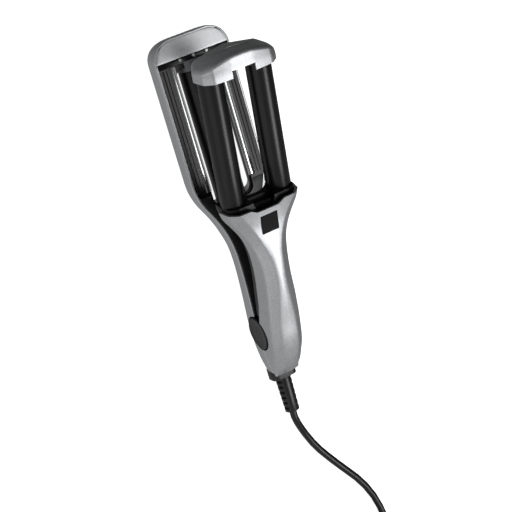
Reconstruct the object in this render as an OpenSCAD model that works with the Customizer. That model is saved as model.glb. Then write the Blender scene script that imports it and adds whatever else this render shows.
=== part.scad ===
// Hair waver: two front barrels close over one centre barrel and two heated strips.
// X runs across the tool, Y from the cord end to the tip, Z up. The tool lies on its back
// on Z = 0, with the hinge axis above the origin. Front arm pieces are drawn closed and
// turned to the open position by front().

/* [Hinge] */
// Height of the hinge axis above the flat back
hinge_z = 22; // [21.9:0.1:24]
// Angle between the arms when open
open_angle = 13; // [6:0.5:14]
// Outer diameter of the hollow pivot tube
pivot_d = 14; // [12:0.5:15]
// Wall of the pivot tube
pivot_wall = 2; // [1.5:0.25:2.5]
// Diameter of the button and of the cap at the hinge
button_d = 31; // [26:0.5:32]
// Thickness of the button and of the cap
button_t = 2.4; // [2:0.2:3]
// Travel of the power button
button_travel = 1.2; // [0.6:0.1:1.4]

/* [Front jaw] */
// Diameter of the two front barrels
barrel_d = 22; // [19:0.5:23]
// Wall of every barrel tube
barrel_wall = 1.4; // [1:0.1:2]
// Distance between the axes of the front barrels
barrel_spacing = 46; // [44:0.5:48]
// Height of the front barrel axes above the hinge plane when closed
barrel_rise = 12.5; // [12:0.25:14]
// Place along Y where the front barrels leave their collar
collar_tip_y = 142; // [140:0.5:144]
// Place along Y of the edge of the end cap nearest the handle
cap_base_y = 258; // [254:0.5:262]
// Side of the end cap outside the front barrels
cap_side = 3; // [2.6:0.1:5]
// Width of the notch in the end cap
cap_notch_w = 22; // [14:0.5:23]
// Depth of the notch along Y
cap_notch_depth = 6.5; // [4:0.5:8]

/* [Rear jaw] */
// Diameter of the centre barrel
centre_d = 27; // [24:0.5:27.4]
// Depth of the centre barrel axis below the hinge plane
centre_drop = 8; // [7.5:0.25:8.2]
// How far each side of the rear jaw lies outside the front barrels
jaw_side = 2.8; // [2.4:0.1:5]
// Place along Y of the tip of both jaws
tip_y = 277; // [275:0.5:284]
// Corner radius of the rear jaw's tip
tip_corner_r = 18; // [14:0.5:20]
// How far each heated strip reaches over the edge of the window
strip_lap = 0.2; // [0:0.05:0.4]
// Place along Y of the cord end of the window
window_base_y = 125.5; // [124:0.5:128]
// Place along Y of the tip end of the window
window_tip_y = 250; // [246:0.5:251]
// Width of each heated strip
strip_w = 5.4; // [4:0.2:6]
// Place along Y of the cord end of the heated strips
strip_base_y = 140; // [139:0.5:146]
// Place along Y of the tip end of the heated strips
strip_tip_y = 253.5; // [246:0.5:254]

/* [Handle] */
// Wall of the silver shells
wall = 2; // [1.6:0.1:2.4]
// Width of the handle at its waist
waist_w = 29.4; // [28:0.2:32]
// Width of the handle at the hinge
hinge_w = 33.6; // [33:0.2:36]
// How much wider the front arm's head is than the rear jaw
head_extra = 0.4; // [0:0.1:1.4]
// Thickness of the front arm at its waist, above the hinge plane
grip_t = 33; // [31:0.5:36]
// Place along Y of the tip edge of the front shell
head_y = 138; // [136:0.5:139]
// Distance from the hinge to the tail end of the shells
tail_len = 42; // [40:0.5:44]
// Badge plate width
badge_w = 16.5; // [10:0.5:18]
// Badge plate length
badge_len = 18; // [10:0.5:20]

/* [Cord] */
// Diameter of the cord
cord_d = 7; // [6:0.5:8]
// Length of the strain relief behind the end collar
relief_len = 36; // [30:1:40]
// Diameter of the strain relief at the collar
relief_d = 15; // [12:0.5:16]
// Height of the cord's exit above the flat back
relief_z = 10; // [9:0.5:11]

/* [Clearances] */
// Gap between pieces that move past each other
run_gap = 0.4; // [0.3:0.05:0.5]
// Radial clearance of a turning or sliding fit
fit = 0.05; // [0.03:0.01:0.1]
// Gap around pieces that are fixed together
seat = 0.1; // [0.05:0.05:0.2]

/* [Hidden] */
$fn = 48;
eps = 0.01;

// Derived sizes of the jaws
barrel_x = barrel_spacing / 2;
barrel_bore = barrel_d - 2 * barrel_wall;
centre_z = hinge_z - centre_drop;
centre_bore = centre_d - 2 * barrel_wall;
deck_z = hinge_z + 0.4;
deck_t = 3;
skirt_depth = 7;
skirt_t = 1.6;
strip_t = 2.4;
strip_dish = 0.3;
strip_x = barrel_x - 0.7;
window_w = 2 * strip_x - strip_w + 2 * strip_lap;
window_r = (window_w - centre_d) / 2 + 0.7;
jaw_w = barrel_spacing + barrel_d + 2 * jaw_side;
head_w = jaw_w + head_extra;
cap_w = barrel_spacing + barrel_d + 2 * cap_side;
liner_rib_x = [jaw_w / 2 - 7.4, jaw_w / 2 - 4.8];
edge_band = 4.5;
heater_t = 1.2;
panel_base_y = 258.7;
panel_tip_gap = wall + 0.9;
bow_len = 13;
bow_h = 13;
panel_t = 2;
liner_base_y = 137;
holder_screw_y = panel_base_y - 1.9;
cover_screws = [40, 100];
board_posts = [-19, 40, 100];
board_z = 5.5;
board_base_y = 20;
board_len = 86;
board_w = waist_w - 11.4;
barrel_seat = 5.5;
barrel_tip_y = cap_base_y + 6;
ring_len = 4;
ring_r = min(centre_d / 2 + 0.3, centre_z - 0.02);
centre_base_y = window_base_y + 0.3;
centre_tip_y = window_tip_y - 0.3 - ring_len - seat;
holder_base_y = window_base_y - 12;
holder_half = centre_d / 2 + 1.5;
neck_d = centre_bore - 2.2;
spigot_len = 8;
dip_w = 21;
dip_depth = 3.7;

// Derived sizes of the hinge
pivot_bore = pivot_d - 2 * pivot_wall;
hub_half = 9;
ear_t = 2.5;
ear_x0 = hub_half + run_gap;
ear_x1 = ear_x0 + ear_t;
ear_d = pivot_d + 8;
bush_wall = 1.5;
spring_wire = 1.2;
spring_r = pivot_d / 2 + 0.3 + spring_wire / 2;
spring_turns = 4.5;
spring_leg = 15;
disc_gap = 1.3;
disc_cut_r = button_d / 2 + disc_gap;
disc_x = hinge_w / 2 - 0.3;

// Derived sizes of the handle
edge_z = 10.5;
tail_slope = tan(open_angle);
tail_gap = 0.5;
rear_keys = [
    [-tail_len, hinge_w / 2 - 3.6], [-30, hinge_w / 2 - 1.4], [-10, hinge_w / 2],
    [10, hinge_w / 2], [35, waist_w / 2 + 0.8], [65, waist_w / 2], [85, waist_w / 2 + 1],
    [100, waist_w / 2 + 4.2], [115, jaw_w / 2 - 12], [130, jaw_w / 2 - 4.4],
    [143, jaw_w / 2 - 0.6], [152, jaw_w / 2]
];
belly_keys = [[-tail_len, 8], [-20, 5.4], [0, 5], [30, 6.5], [65, 8], [100, 7], [150, 7], [300, 7]];
head_keys = [
    [-tail_len - 2, hinge_w / 2 - 4.6], [-30, hinge_w / 2 - 2.2], [-10, hinge_w / 2 - 0.2],
    [15, hinge_w / 2], [40, waist_w / 2 + 0.9], [65, waist_w / 2 - 0.3], [85, waist_w / 2 + 0.8],
    [100, waist_w / 2 + 4.1], [110, waist_w / 2 + 8.3], [120, head_w / 2 - 8.3],
    [130, head_w / 2 - 2.3], [head_y, head_w / 2]
];
shoulder_keys = [
    [-tail_len - 2, 12], [-30, 17.4], [-20, 19.8], [-10, 22.4], [10, 24.4], [40, grip_t - 6],
    [60, grip_t - 5.7], [85, grip_t - 7.6], [100, 22.6], [112, 21.9], [125, 22.8], [head_y, 24.3]
];
top_keys = [
    [-tail_len - 2, 16.5], [-38, 20], [-30, 23], [-20, 26], [0, 29.4], [20, grip_t - 2.4],
    [40, grip_t - 0.8], [60, grip_t], [80, grip_t - 0.4], [92, grip_t - 2.6], [105, 28.2],
    [118, 27.8], [130, 29.4], [head_y, 31]
];
flat_keys = [
    [-tail_len - 2, 4.8], [-30, 6.4], [-10, 8.5], [20, 8.3], [40, 6.3], [60, 4.7], [80, 5.2],
    [92, 7], [105, 11], [120, 17.4], [130, 23], [head_y, 28]
];
cover_z = 1.2;
cover_tip_y = 128;
crown = 0.8;
cover_posts = [55, 95];
shell_posts = [60, 114];
badge_y = 111;

// Cord route, floor points and coil
cord_r = cord_d / 2;
collar_len = 10;
spigot_d = 14.5;
relief_base_y = -tail_len - collar_len - 2 * seat;
relief_tip_y = relief_base_y - relief_len;
route = [
    [0, relief_tip_y + 2, relief_z], [0, -96, 9.7], [2, -104, 8], [5, -112, 5.6], [8.5, -121, 4],
    [13, -132, 3.5], [18, -142, 3.5], [24, -152, 3.5], [31, -163, 3.5], [39, -175, 3.5],
    [47, -187, 3.5], [54, -200, 3.5], [59.5, -214, 3.5], [63, -228, 3.5], [65, -242, 3.5],
    [66, -256, 3.5], [66, -268, 3.5], [66, -280, 3.5]
];
coil_turn_r = 42;
coil_width = 3 * cord_d;
coil_h = 2 * cord_d;
coil_x = 66 - coil_turn_r - coil_width / 2 + cord_r;
coil_y = -280;
plug_z = 7;
plug_len = 34;
plug_x = coil_x - coil_turn_r - 7;
plug_y = coil_y - coil_turn_r - coil_width / 2 + cord_r;
lead_len = 32;
pin_d = 4;
pin_len = 19;
pin_spacing = 18.6;

// Smooth curve through a list of [y, value] keys
function key_at(keys, y, i = 0) =
    (i >= len(keys) - 2 || y <= keys[i + 1][0]) ? i : key_at(keys, y, i + 1);
function slope_at(keys, i) =
    let (a = max(i - 1, 0), b = min(i + 1, len(keys) - 1))
    (keys[b][1] - keys[a][1]) / (keys[b][0] - keys[a][0]);
function curve(keys, y) =
    let (i = key_at(keys, y), h = keys[i + 1][0] - keys[i][0],
         t = min(max((y - keys[i][0]) / h, 0), 1), m0 = slope_at(keys, i) * h,
         m1 = slope_at(keys, i + 1) * h)
    (2 * t * t * t - 3 * t * t + 1) * keys[i][1] + (t * t * t - 2 * t * t + t) * m0
    + (3 * t * t - 2 * t * t * t) * keys[i + 1][1] + (t * t * t - t * t) * m1;
// Half width of an outline whose end is closed by two round corners
function round_end(half, y, end, r) =
    y <= end - r ? half : half - r + sqrt(max(r * r - (y - end + r) * (y - end + r), 0));
function rear_half(y) = round_end(curve(rear_keys, y), y, tip_y, tip_corner_r);
// Stations along Y, closer together at a round end
function stations(y0, y1, step) = [for (i = [0:ceil((y1 - y0) / step)]) min(y0 + i * step, y1)];
function end_stations(end, r) = [for (a = [15:15:75]) end - r + r * sin(a)];
function rear_stations() =
    concat(stations(-tail_len, 152, 9.7), [tip_y - tip_corner_r], end_stations(tip_y, tip_corner_r),
           [tip_y - 0.3, tip_y]);
function hollow_stations() =
    concat([-tail_len + wall], [for (y = rear_stations())
        if (y > -tail_len + wall + 1 && y <= tip_y - tip_corner_r) y],
        end_stations(tip_y - wall, tip_corner_r));
// Half width along the straight facets between two stations
function rear_facet(y) = lookup(y, [for (s = rear_stations()) [s, rear_half(s)]]);
function front_edge(y) =
    y < 0 ? max(tail_gap / cos(open_angle) + 0.4 - y * tail_slope, 3) : min(5 + 0.16 * y, edge_z);

// Solid skin over a list of rings; every ring lists [x, y, z] points the same way round
module loft(rings) {
    n = len(rings[0]);
    m = len(rings);
    points = [for (r = rings) for (p = r) p];
    sides = [for (i = [0:m - 2]) for (j = [0:n - 1]) for (k = [0, 1])
        k == 0 ? [i * n + j, i * n + (j + 1) % n, (i + 1) * n + j]
               : [i * n + (j + 1) % n, (i + 1) * n + (j + 1) % n, (i + 1) * n + j]];
    first = [for (j = [0:n - 1]) n - 1 - j];
    last = [for (j = [0:n - 1]) (m - 1) * n + j];
    polyhedron(points, concat([first], sides, [last]), convexity = 6);
}
// Ring symmetric about X = 0 from half of its points, [x, z], bottom first
function mirror_ring(half, y) =
    concat([for (p = half) [p[0], y, p[1]]],
           [for (i = [len(half) - 1:-1:0]) if (half[i][0] > 0) [-half[i][0], y, half[i][1]]]);
// Everything on the front arm is drawn closed and opened here
module front() {
    translate([0, 0, hinge_z]) rotate([open_angle, 0, 0]) children();
}
module along_x(d, x0, x1) {
    translate([x0, 0, 0]) rotate([0, 90, 0]) cylinder(d = d, h = x1 - x0);
}
module along_y(d, y0, y1) {
    translate([0, y0, 0]) rotate([-90, 0, 0]) cylinder(d = d, h = y1 - y0);
}
module slot_2d(w, y0, y1, r) {
    translate([-w / 2, y0 + r]) square([w, y1 - y0 - 2 * r]);
    translate([-w / 2 + r, y0]) square([w - 2 * r, y1 - y0]);
    for (x = [-1, 1]) for (y = [y0 + r, y1 - r]) translate([x * (w / 2 - r), y]) circle(r);
}
// Plate whose outline follows the rear shell, inset by a gap
module rear_plate_2d(y0, y1, inset) {
    ys = concat([for (y = rear_stations()) if (y > y0 + 1 && y < y1 - 1) y], [y1]);
    all = concat([y0], ys);
    half = [for (y = all)
        (y < tip_y - tip_corner_r ? rear_facet(y) : rear_half(min(y + inset, tip_y))) - inset];
    polygon(concat([for (i = [0:len(all) - 1]) [half[i], all[i]]],
                   [for (i = [len(all) - 1:-1:0]) [-half[i], all[i]]]));
}
module screw(d, len) {
    head_d = d * 1.9;
    difference() {
        union() {
            cylinder(d = head_d, h = d * 0.55);
            translate([0, 0, -len]) cylinder(d = d, h = len + eps);
        }
        for (a = [0, 90]) rotate(a) translate([-head_d * 0.3, -d * 0.1, d * 0.3])
            cube([head_d * 0.6, d * 0.2, d]);
    }
}

// ---- rear arm ----
// The flat back rises towards the tip in a quarter of an ellipse
function tip_rise(y) =
    let (t = min(max((y - tip_y) / bow_len + 1, 0), 1)) bow_h * (1 - sqrt(1 - t * t));
function rear_ring(y) =
    let (w = rear_half(y), b = curve(belly_keys, y), s = w - (y < 90 ? 0.9 : 0), rise = tip_rise(y))
    mirror_ring([[s - 6.2, rise], [s, b + rise * 0.7], [w, deck_z - 1], [w - 0.6, deck_z]], y);
function rear_hollow(y) =
    let (w = rear_half(y), b = curve(belly_keys, y), s = w - (y < 90 ? 0.9 : 0), rise = tip_rise(y + wall))
    mirror_ring([[s - 6.8, rise + wall], [s - wall, b + rise * 0.7 + 0.8], [w - wall, deck_z + 4]], y);
module window_funnel(grow, z0, z1) {
    hull() {
        translate([0, 0, z0]) linear_extrude(0.1)
            slot_2d(window_w + 2 * grow + 13, window_base_y - grow, window_tip_y + grow, window_r);
        translate([0, 0, z1 - 0.1]) linear_extrude(0.1)
            slot_2d(window_w + 2 * grow, window_base_y - grow, window_tip_y + grow, window_r);
    }
}
module rear_shell() {
    funnel_z = deck_z - skirt_depth;
    color("#b9bbbd") difference() {
        union() {
            difference() {
                loft([for (y = rear_stations()) rear_ring(y)]);
                loft([for (y = hollow_stations()) rear_hollow(y)]);
            }
            window_funnel(1.6, wall - 0.2, funnel_z);
            for (y = board_posts) translate([0, y, 1]) {
                cylinder(d = 10, h = board_z - 1);
                cylinder(d = 6.6, h = 13);
            }
        }
        window_funnel(0, -0.1, funnel_z + 0.1);
        for (y = board_posts) translate([0, y, wall]) cylinder(d = 2.6, h = 20);
        translate([0, 0, centre_z])
            along_y(neck_d + 2 * seat, window_base_y - 3, window_tip_y + 3);
        translate([0, 0, hinge_z]) along_x(2 * disc_cut_r, -40, -disc_x + 3);
        translate([0, 0, hinge_z]) along_x(2 * disc_cut_r, disc_x - 3, 40);
        translate([0, 0, relief_z]) along_y(spigot_d + 2 * seat, -tail_len - 1, -tail_len + 3);
        for (i = [-4:5]) translate([(i - 0.5) * 4.3, tip_y - 0.7, 7]) cube([2, 2, 12]);
    }
}
module rear_tip_panel() {
    color("#c4c6c8") translate([0, 0, deck_z - panel_t])
        linear_extrude(panel_t) rear_plate_2d(panel_base_y, tip_y - panel_tip_gap, wall + seat);
}
module rear_liner() {
    color("#1c1c1e") difference() {
        union() {
            translate([0, 0, deck_z - deck_t]) linear_extrude(deck_t)
                rear_plate_2d(liner_base_y, panel_base_y - edge_band, wall + seat);
            translate([0, 0, deck_z - skirt_depth + seat]) linear_extrude(skirt_depth - seat)
                slot_2d(window_w + 2 * skirt_t, window_base_y - skirt_t, window_tip_y + skirt_t, window_r);
            for (s = [-1, 1]) for (x = liner_rib_x) translate([s * x - 0.4, liner_base_y + 4, deck_z - eps])
                cube([0.8, 112, 0.5]);
        }
        translate([0, 0, -1]) linear_extrude(40)
            slot_2d(window_w, window_base_y, window_tip_y, window_r);
        translate([0, 0, centre_z])
            along_y(neck_d + 2 * seat, window_base_y - 3, window_tip_y + 3);
        for (s = [-1, 1]) translate([s * strip_x - strip_w / 2 - seat, strip_base_y - seat, deck_z - strip_t])
            cube([strip_w + 2 * seat, strip_tip_y - strip_base_y + 2 * seat, 10]);
    }
}
module heated_strip(side) {
    color("#d6d7d8") difference() {
        translate([side * strip_x - strip_w / 2, strip_base_y, deck_z - strip_t + eps])
            cube([strip_w, strip_tip_y - strip_base_y, strip_t + strip_dish]);
        translate([side * strip_x, 0, deck_z + barrel_d / 2])
            along_y(barrel_d, strip_base_y - 1, strip_tip_y + 1);
    }
}
module heated_strip_left() { heated_strip(-1); }
module heated_strip_right() { heated_strip(1); }
module strip_heater(side) {
    color("#e8dcc0")
        translate([side * (strip_x + 1.6) - strip_w / 2 + 1, strip_base_y + 6, deck_z - deck_t - heater_t])
            cube([strip_w - 2, strip_tip_y - strip_base_y - 12, heater_t]);
}
module strip_heater_left() { strip_heater(-1); }
module strip_heater_right() { strip_heater(1); }
module centre_barrel() {
    color("#202022") translate([0, 0, centre_z]) difference() {
        along_y(centre_d, centre_base_y, centre_tip_y);
        along_y(centre_bore, centre_base_y - 1, centre_tip_y + 1);
    }
}
// Two half-round carriers pressed against the tube by the heater between them
module barrel_core(bore, y0, y1) {
    intersection() {
        along_y(bore - 2 * seat, y0, y1);
        translate([-bore / 2, y0 - 1, -4]) cube([bore, y1 - y0 + 2, 8]);
    }
}
module centre_heater() {
    color("#a8a9aa") translate([0, 0, centre_z])
        barrel_core(centre_bore, centre_base_y + spigot_len + 0.5, centre_tip_y - spigot_len - 0.5);
}
module barrel_end_ring() {
    color("#5a5b5d") translate([0, 0, centre_z]) difference() {
        along_y(2 * ring_r, centre_tip_y + seat, centre_tip_y + seat + ring_len);
        along_y(centre_bore, centre_tip_y - 1, window_tip_y + 3);
    }
}
// Black block under the panel: carries the tube's end and the band with the three screws
module tip_holder() {
    y0 = window_tip_y + skirt_t + seat;
    band_y = panel_base_y - edge_band + seat;
    deck_under = deck_z - deck_t - seat;
    color("#19191b") difference() {
        union() {
            translate([-22, y0, wall]) cube([44, 9, deck_under - wall]);
            translate([-22, band_y + 1, wall])
                cube([44, y0 + 8 - band_y, deck_z - panel_t - seat - wall]);
            translate([0, 0, deck_under - eps]) linear_extrude(deck_z - deck_under + eps)
                rear_plate_2d(band_y, panel_base_y - 0.3, wall + seat);
            intersection() {
                translate([0, 0, centre_z]) along_y(2 * ring_r, window_tip_y + 0.2, band_y + 0.8);
                union() {
                    translate([-30, 0, deck_z + seat]) cube([60, 400, 30]);
                    translate([-30, band_y, deck_z - 1]) cube([60, 20, 30]);
                }
            }
            translate([0, 0, centre_z]) {
                along_y(neck_d, window_tip_y - 0.4, y0 + 1);
                along_y(centre_bore - 2 * seat, centre_tip_y - spigot_len, window_tip_y - 0.3);
            }
        }
        translate([-11, y0 + 6, -1]) cube([22, 20, 12]);
        for (x = [-13, 0, 13]) translate([x, holder_screw_y, deck_z - 12]) cylinder(d = 1.8, h = 30);
    }
}
module holder_screws() {
    color("#d8d8d8") for (x = [-13, 0, 13]) translate([x, holder_screw_y, deck_z + eps]) screw(1.6, 6);
}
// Black saddle at the cord end of the window, with the spigot that carries the tube
module base_holder() {
    y1 = window_base_y - skirt_t - seat;
    color("#19191b") difference() {
        union() {
            intersection() {
                translate([0, 0, centre_z]) along_y(2 * holder_half, holder_base_y, y1);
                translate([-30, 0, wall]) cube([60, 200, 60]);
            }
            translate([-holder_half, holder_base_y, wall])
                cube([2 * holder_half, y1 - holder_base_y, centre_z - wall]);
            translate([0, 0, centre_z]) {
                along_y(neck_d, y1 - 1, centre_base_y + seat);
                along_y(centre_bore - 2 * seat, centre_base_y, centre_base_y + spigot_len);
            }
        }
        translate([0, 0, centre_z]) along_y(neck_d - 6, 0, window_base_y + 20);
    }
}
module rear_cover() {
    color("#1b1b1d") difference() {
        union() {
            translate([0, 0, deck_z - wall]) linear_extrude(wall) difference() {
                rear_plate_2d(18.5, liner_base_y - 0.3, wall + 0.4);
                slot_2d(window_w + 2 * (skirt_t + seat), window_base_y - skirt_t - seat, window_tip_y,
                        window_r);
                translate([-holder_half - seat, holder_base_y - seat])
                    square([2 * (holder_half + seat), 20]);
            }
            for (y = cover_screws) translate([0, y, 14 + seat]) cylinder(d = 6, h = deck_z - 15);
        }
        for (y = cover_screws) translate([0, y, 5]) {
            cylinder(d = 2.8, h = 40);
            translate([0, 0, 13.5]) cylinder(d = 5.6, h = 20);
        }
    }
}
module rear_cover_screws() {
    color("#77787a") for (y = cover_screws) translate([0, y, 18.6]) screw(2.4, 12);
}
module hinge_block() {
    color("#242426") difference() {
        union() {
            translate([0, 0, hinge_z]) along_x(pivot_d + 5, -hub_half, hub_half);
            translate([-hub_half, -6, wall]) cube([2 * hub_half, 12, hinge_z - wall]);
            for (x = [-hub_half - 4.4, hub_half - 0.6]) translate([x, -8, 6.2]) cube([5, 16, 3]);
            translate([-4.3, 5, wall]) cube([8.6, 12, hinge_z - spring_r - spring_wire / 2 - 0.05 - wall]);
        }
        translate([0, 0, hinge_z]) along_x(pivot_d + 2 * fit, -hub_half - 1, hub_half + 1);
        translate([0, 0, hinge_z]) along_x(pivot_d + 8, -4.5, 4.5);
        translate([-4.5, -20, hinge_z - 11]) cube([9, 22, 11]);
        translate([-4.5, -20, hinge_z - spring_r - spring_wire / 2 - 0.05]) cube([9, 40, 20]);
    }
}
module pivot_tube() {
    color("#9fa1a3") translate([0, 0, hinge_z]) difference() {
        along_x(pivot_d, -ear_x1 - 1.2, ear_x1 + 1.2);
        along_x(pivot_bore, -40, 40);
    }
}
// Torsion spring: one leg on the rear block, 4.5 turns round the tube, one leg under the chassis
function spring_ring(p, radial, dir) =
    let (side = cross(radial, dir))
    [for (a = [0:45:315]) p + spring_wire / 2 * (cos(a) * radial + sin(a) * side)];
module return_spring() {
    half = hub_half / 2 - spring_wire / 2 - 0.25;
    steps = spring_turns * 16;
    lead = 2 * half / (spring_turns * 2 * PI * spring_r);
    turns = [for (i = [0:steps]) let (a = -90 - 360 * i / 16)
        spring_ring([half * (2 * i / steps - 1), spring_r * cos(a), spring_r * sin(a)],
                    [0, cos(a), sin(a)], unit([lead, sin(a), -cos(a)]))];
    color("#8d8f91") translate([0, 0, hinge_z]) loft(concat(
        [spring_ring([-half, spring_leg, -spring_r], [0, 0, -1], [0, -1, 0])], turns,
        [spring_ring([half, spring_leg, spring_r], [0, 0, 1], [0, 1, 0])]));
}
// Round plate with a chamfered rim and a shallow dish, its face towards +Z
module dished_disc(d, t) {
    rim = 1;
    rotate_extrude($fn = 96) polygon([[0, 0], [d / 2, 0], [d / 2, t - rim * 0.6], [d / 2 - rim, t],
                                      [d / 2 - 1.6 * rim, t], [d / 2 - 3 * rim, t - 0.3], [0, t - 0.5]]);
}
module power_button() {
    color("#3c3d3f") translate([-disc_x + 1.6, 0, hinge_z]) {
        rotate([0, -90, 0]) dished_disc(button_d, button_t);
        along_x(pivot_bore - 2 * fit, -eps, disc_x - 1.6 - 6.2);
    }
}
module power_switch() {
    color("#2a2a2c") translate([0, 0, hinge_z]) {
        along_x(pivot_bore - 2 * fit, -3.4, 5);
        along_x(3.2, -6.1 + button_travel, -3.39);
    }
}
module pivot_cap() {
    color("#3c3d3f") translate([disc_x - 1.6, 0, hinge_z]) {
        rotate([0, 90, 0]) dished_disc(button_d, button_t);
        along_x(pivot_bore - 2 * fit, 7 - disc_x + 1.6, eps);
    }
}
module circuit_board() {
    color("#2f6b3f") difference() {
        translate([-board_w / 2, board_base_y, board_z]) cube([board_w, board_len, 1.6]);
        for (y = cover_screws) translate([0, y, 0]) cylinder(d = 7, h = 20);
    }
    color("#c9a227") translate([-6, 60, board_z + 1.5]) cube([12, 14, 8]);
    color("#303030") translate([-5, 24, board_z + 1.5]) cube([10, 10, 6]);
    color("#707070") for (x = [-6, 6]) translate([x, 50, board_z + 1.5]) cylinder(d = 3, h = 7);
}
module thermal_fuse() {
    color("#b0b2b4") translate([4, 0, board_z + 1.6 + 2.05]) along_y(4, 78, 90);
}
module end_collar() {
    color("#1a1a1c") difference() {
        union() {
            translate([0, -tail_len - seat, relief_z]) rotate([90, 0, 0])
                linear_extrude(collar_len) slot_2d(25, -relief_z + 2.5, 9.5, 6);
            translate([0, 0, relief_z]) along_y(spigot_d, -tail_len - 1, -tail_len + wall + 0.2);
        }
        translate([0, 0, relief_z]) along_y(cord_d + 1.2, -80, 0);
        translate([0, 0, relief_z]) along_y(relief_d - 2, -80, relief_base_y + 6);
    }
}
module strain_relief() {
    slots = 6;
    pitch = relief_len / (slots + 0.6);
    color("#17171a") translate([0, relief_tip_y, relief_z]) difference() {
        union() {
            rotate([-90, 0, 0]) cylinder(d1 = relief_d - 1.6, d2 = relief_d, h = relief_len);
            along_y(relief_d - 2 - 2 * seat, relief_len - 1, relief_len + 5.8);
        }
        along_y(cord_d + 2 * seat, -1, relief_len + 10);
        for (i = [0:slots - 1]) for (s = [-1, 1])
            translate([s * (cord_r + 6.2) - 5, 3.4 + i * pitch, -10]) cube([10, 2.2, 20]);
    }
}
module cord_clamp() {
    color("#2c2c2e") {
        translate([-6, -32, wall]) cube([12, 5, relief_z - wall + 6]);
        translate([0, 0, relief_z]) along_y(cord_d, relief_tip_y + 2.1, -25);
    }
}
function unit(v) = v / norm(v);
function cord_ring(p, dir, n) =
    let (side = unit(cross(dir, [0, 0, 1])), up = cross(side, dir))
    [for (i = [0:n - 1]) p + cord_r * (cos(360 * i / n) * side + sin(360 * i / n) * up)];
module cord() {
    m = len(route);
    color("#141416") loft([for (i = [0:m - 1])
        cord_ring(route[i], unit(route[min(i + 1, m - 1)] - route[max(i - 1, 0)]), 10)]);
}
module cord_coil() {
    color("#141416") translate([coil_x, coil_y, 0]) rotate_extrude($fn = 64)
        translate([coil_turn_r - coil_width / 2, 0]) square([coil_width, coil_h]);
}
module plug_body() {
    color("#18181a") translate([plug_x, plug_y, plug_z]) rotate([0, 0, 90]) {
        translate([0, plug_len - 12, 0]) rotate([90, 0, 0]) linear_extrude(plug_len - 12)
            slot_2d(26, -plug_z, plug_z, plug_z - 0.1);
        translate([0, 1, 0]) rotate([90, 0, 0]) cylinder(d1 = 12, d2 = 9, h = 12);
        along_y(cord_d, -lead_len, -9);
    }
}
module plug_pins() {
    color("#c8c9ca") translate([plug_x, plug_y, plug_z]) rotate([0, 0, 90]) for (x = [-1, 1])
        translate([x * pin_spacing / 2, plug_len - 12, 0]) rotate([-90, 0, 0]) cylinder(d = pin_d, h = pin_len);
}

// ---- front arm, drawn closed about the hinge axis ----
function front_stations() = concat([-tail_len - 2, -tail_len + 3], stations(-32, head_y, 8.5));
function front_ring(y) =
    let (w = curve(head_keys, y), fs = curve(shoulder_keys, y), ft = curve(top_keys, y),
         wt = curve(flat_keys, y), fe = min(front_edge(y), fs - 1),
         ws = w - (y < 105 ? 1 : 1 + (y - 105) / 33))
    mirror_ring([[w, fe], [w + 0.2, fe + 1.2], [ws, fs], [wt, ft], [0, ft + crown]], y);
function front_hollow(y) =
    let (w = curve(head_keys, y), fs = curve(shoulder_keys, y), ft = curve(top_keys, y),
         wt = curve(flat_keys, y), ws = w - (y < 105 ? 1 : 1 + (y - 105) / 33))
    mirror_ring([[w - wall, -6], [w - wall, min(front_edge(y), fs - 1) + 1], [ws - wall, fs - 1],
                 [wt - 0.8, ft - wall], [0, ft + crown - wall]], y);
module front_shell() {
    color("#bdbfc1") front() difference() {
        loft([for (y = front_stations()) front_ring(y)]);
        loft([for (y = concat([-tail_len + 2], stations(-32, head_y + 9, 8.5))) front_hollow(y)]);
        along_x(2 * disc_cut_r, -40, -disc_x + 3);
        along_x(2 * disc_cut_r, disc_x - 3, 40);
        translate([0, 0, 20]) linear_extrude(20) polygon([
            [-dip_w / 2, head_y - dip_depth], [dip_w / 2, head_y - dip_depth],
            [dip_w / 2 + 6.5, head_y + 0.1], [dip_w / 2 + 6.5, head_y + 7],
            [-dip_w / 2 - 6.5, head_y + 7], [-dip_w / 2 - 6.5, head_y + 0.1]]);
        badge_place(-0.9) slot_2d(badge_w + 2 * seat, -seat, badge_len + seat, 1.2);
    }
}
// Plane through the shell's surface at both ends of the badge
module badge_place(drop) {
    z0 = curve(top_keys, badge_y);
    tilt = atan((curve(top_keys, badge_y + badge_len) - z0) / badge_len);
    translate([0, badge_y, z0 + crown + drop]) rotate([tilt, 0, 0]) linear_extrude(1.1) children();
}
module front_badge() {
    color("#101012") front() badge_place(-0.85) slot_2d(badge_w, 0, badge_len, 1.2);
}
module front_chassis() {
    color("#222224") front() difference() {
        union() {
            translate([-11, 9, 13]) cube([22, 14, 3]);
            translate([0, 0, 13]) linear_extrude(3) front_plate_2d(20, cover_tip_y, wall + 1);
            for (s = [-1, 1]) {
                x0 = s > 0 ? ear_x0 : -ear_x1;
                along_x(ear_d, x0, x0 + ear_t);
                translate([x0, 0, 4]) cube([ear_t, 16, 12]);
            }
            for (y = cover_posts) translate([0, y, 3.8]) cylinder(d = 7, h = 10);
            for (y = shell_posts) translate([0, y, 15])
                cylinder(d = 6, h = curve(top_keys, y) - wall - 0.2 - 15);
            translate([0, 11, spring_r + spring_wire / 2 + 0.3])
                cube([hub_half / 2, 4, 13.5 - spring_r - spring_wire / 2 - 0.3]);
        }
        for (s = [-1, 1]) {
            x0 = s > 0 ? ear_x0 : -ear_x1;
            along_x(pivot_d + 2 * bush_wall, x0 - 1, x0 + ear_t + 1);
        }
        for (y = cover_posts) translate([0, y, 0]) cylinder(d = 2.2, h = 12.5);
    }
}
module pivot_bushes() {
    color("#c8b27a") front() for (s = [-1, 1]) {
        x0 = s > 0 ? ear_x0 : -ear_x1;
        difference() {
            along_x(pivot_d + 2 * bush_wall, x0, x0 + ear_t);
            along_x(pivot_d + 2 * fit, x0 - 1, x0 + ear_t + 1);
        }
    }
}
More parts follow.
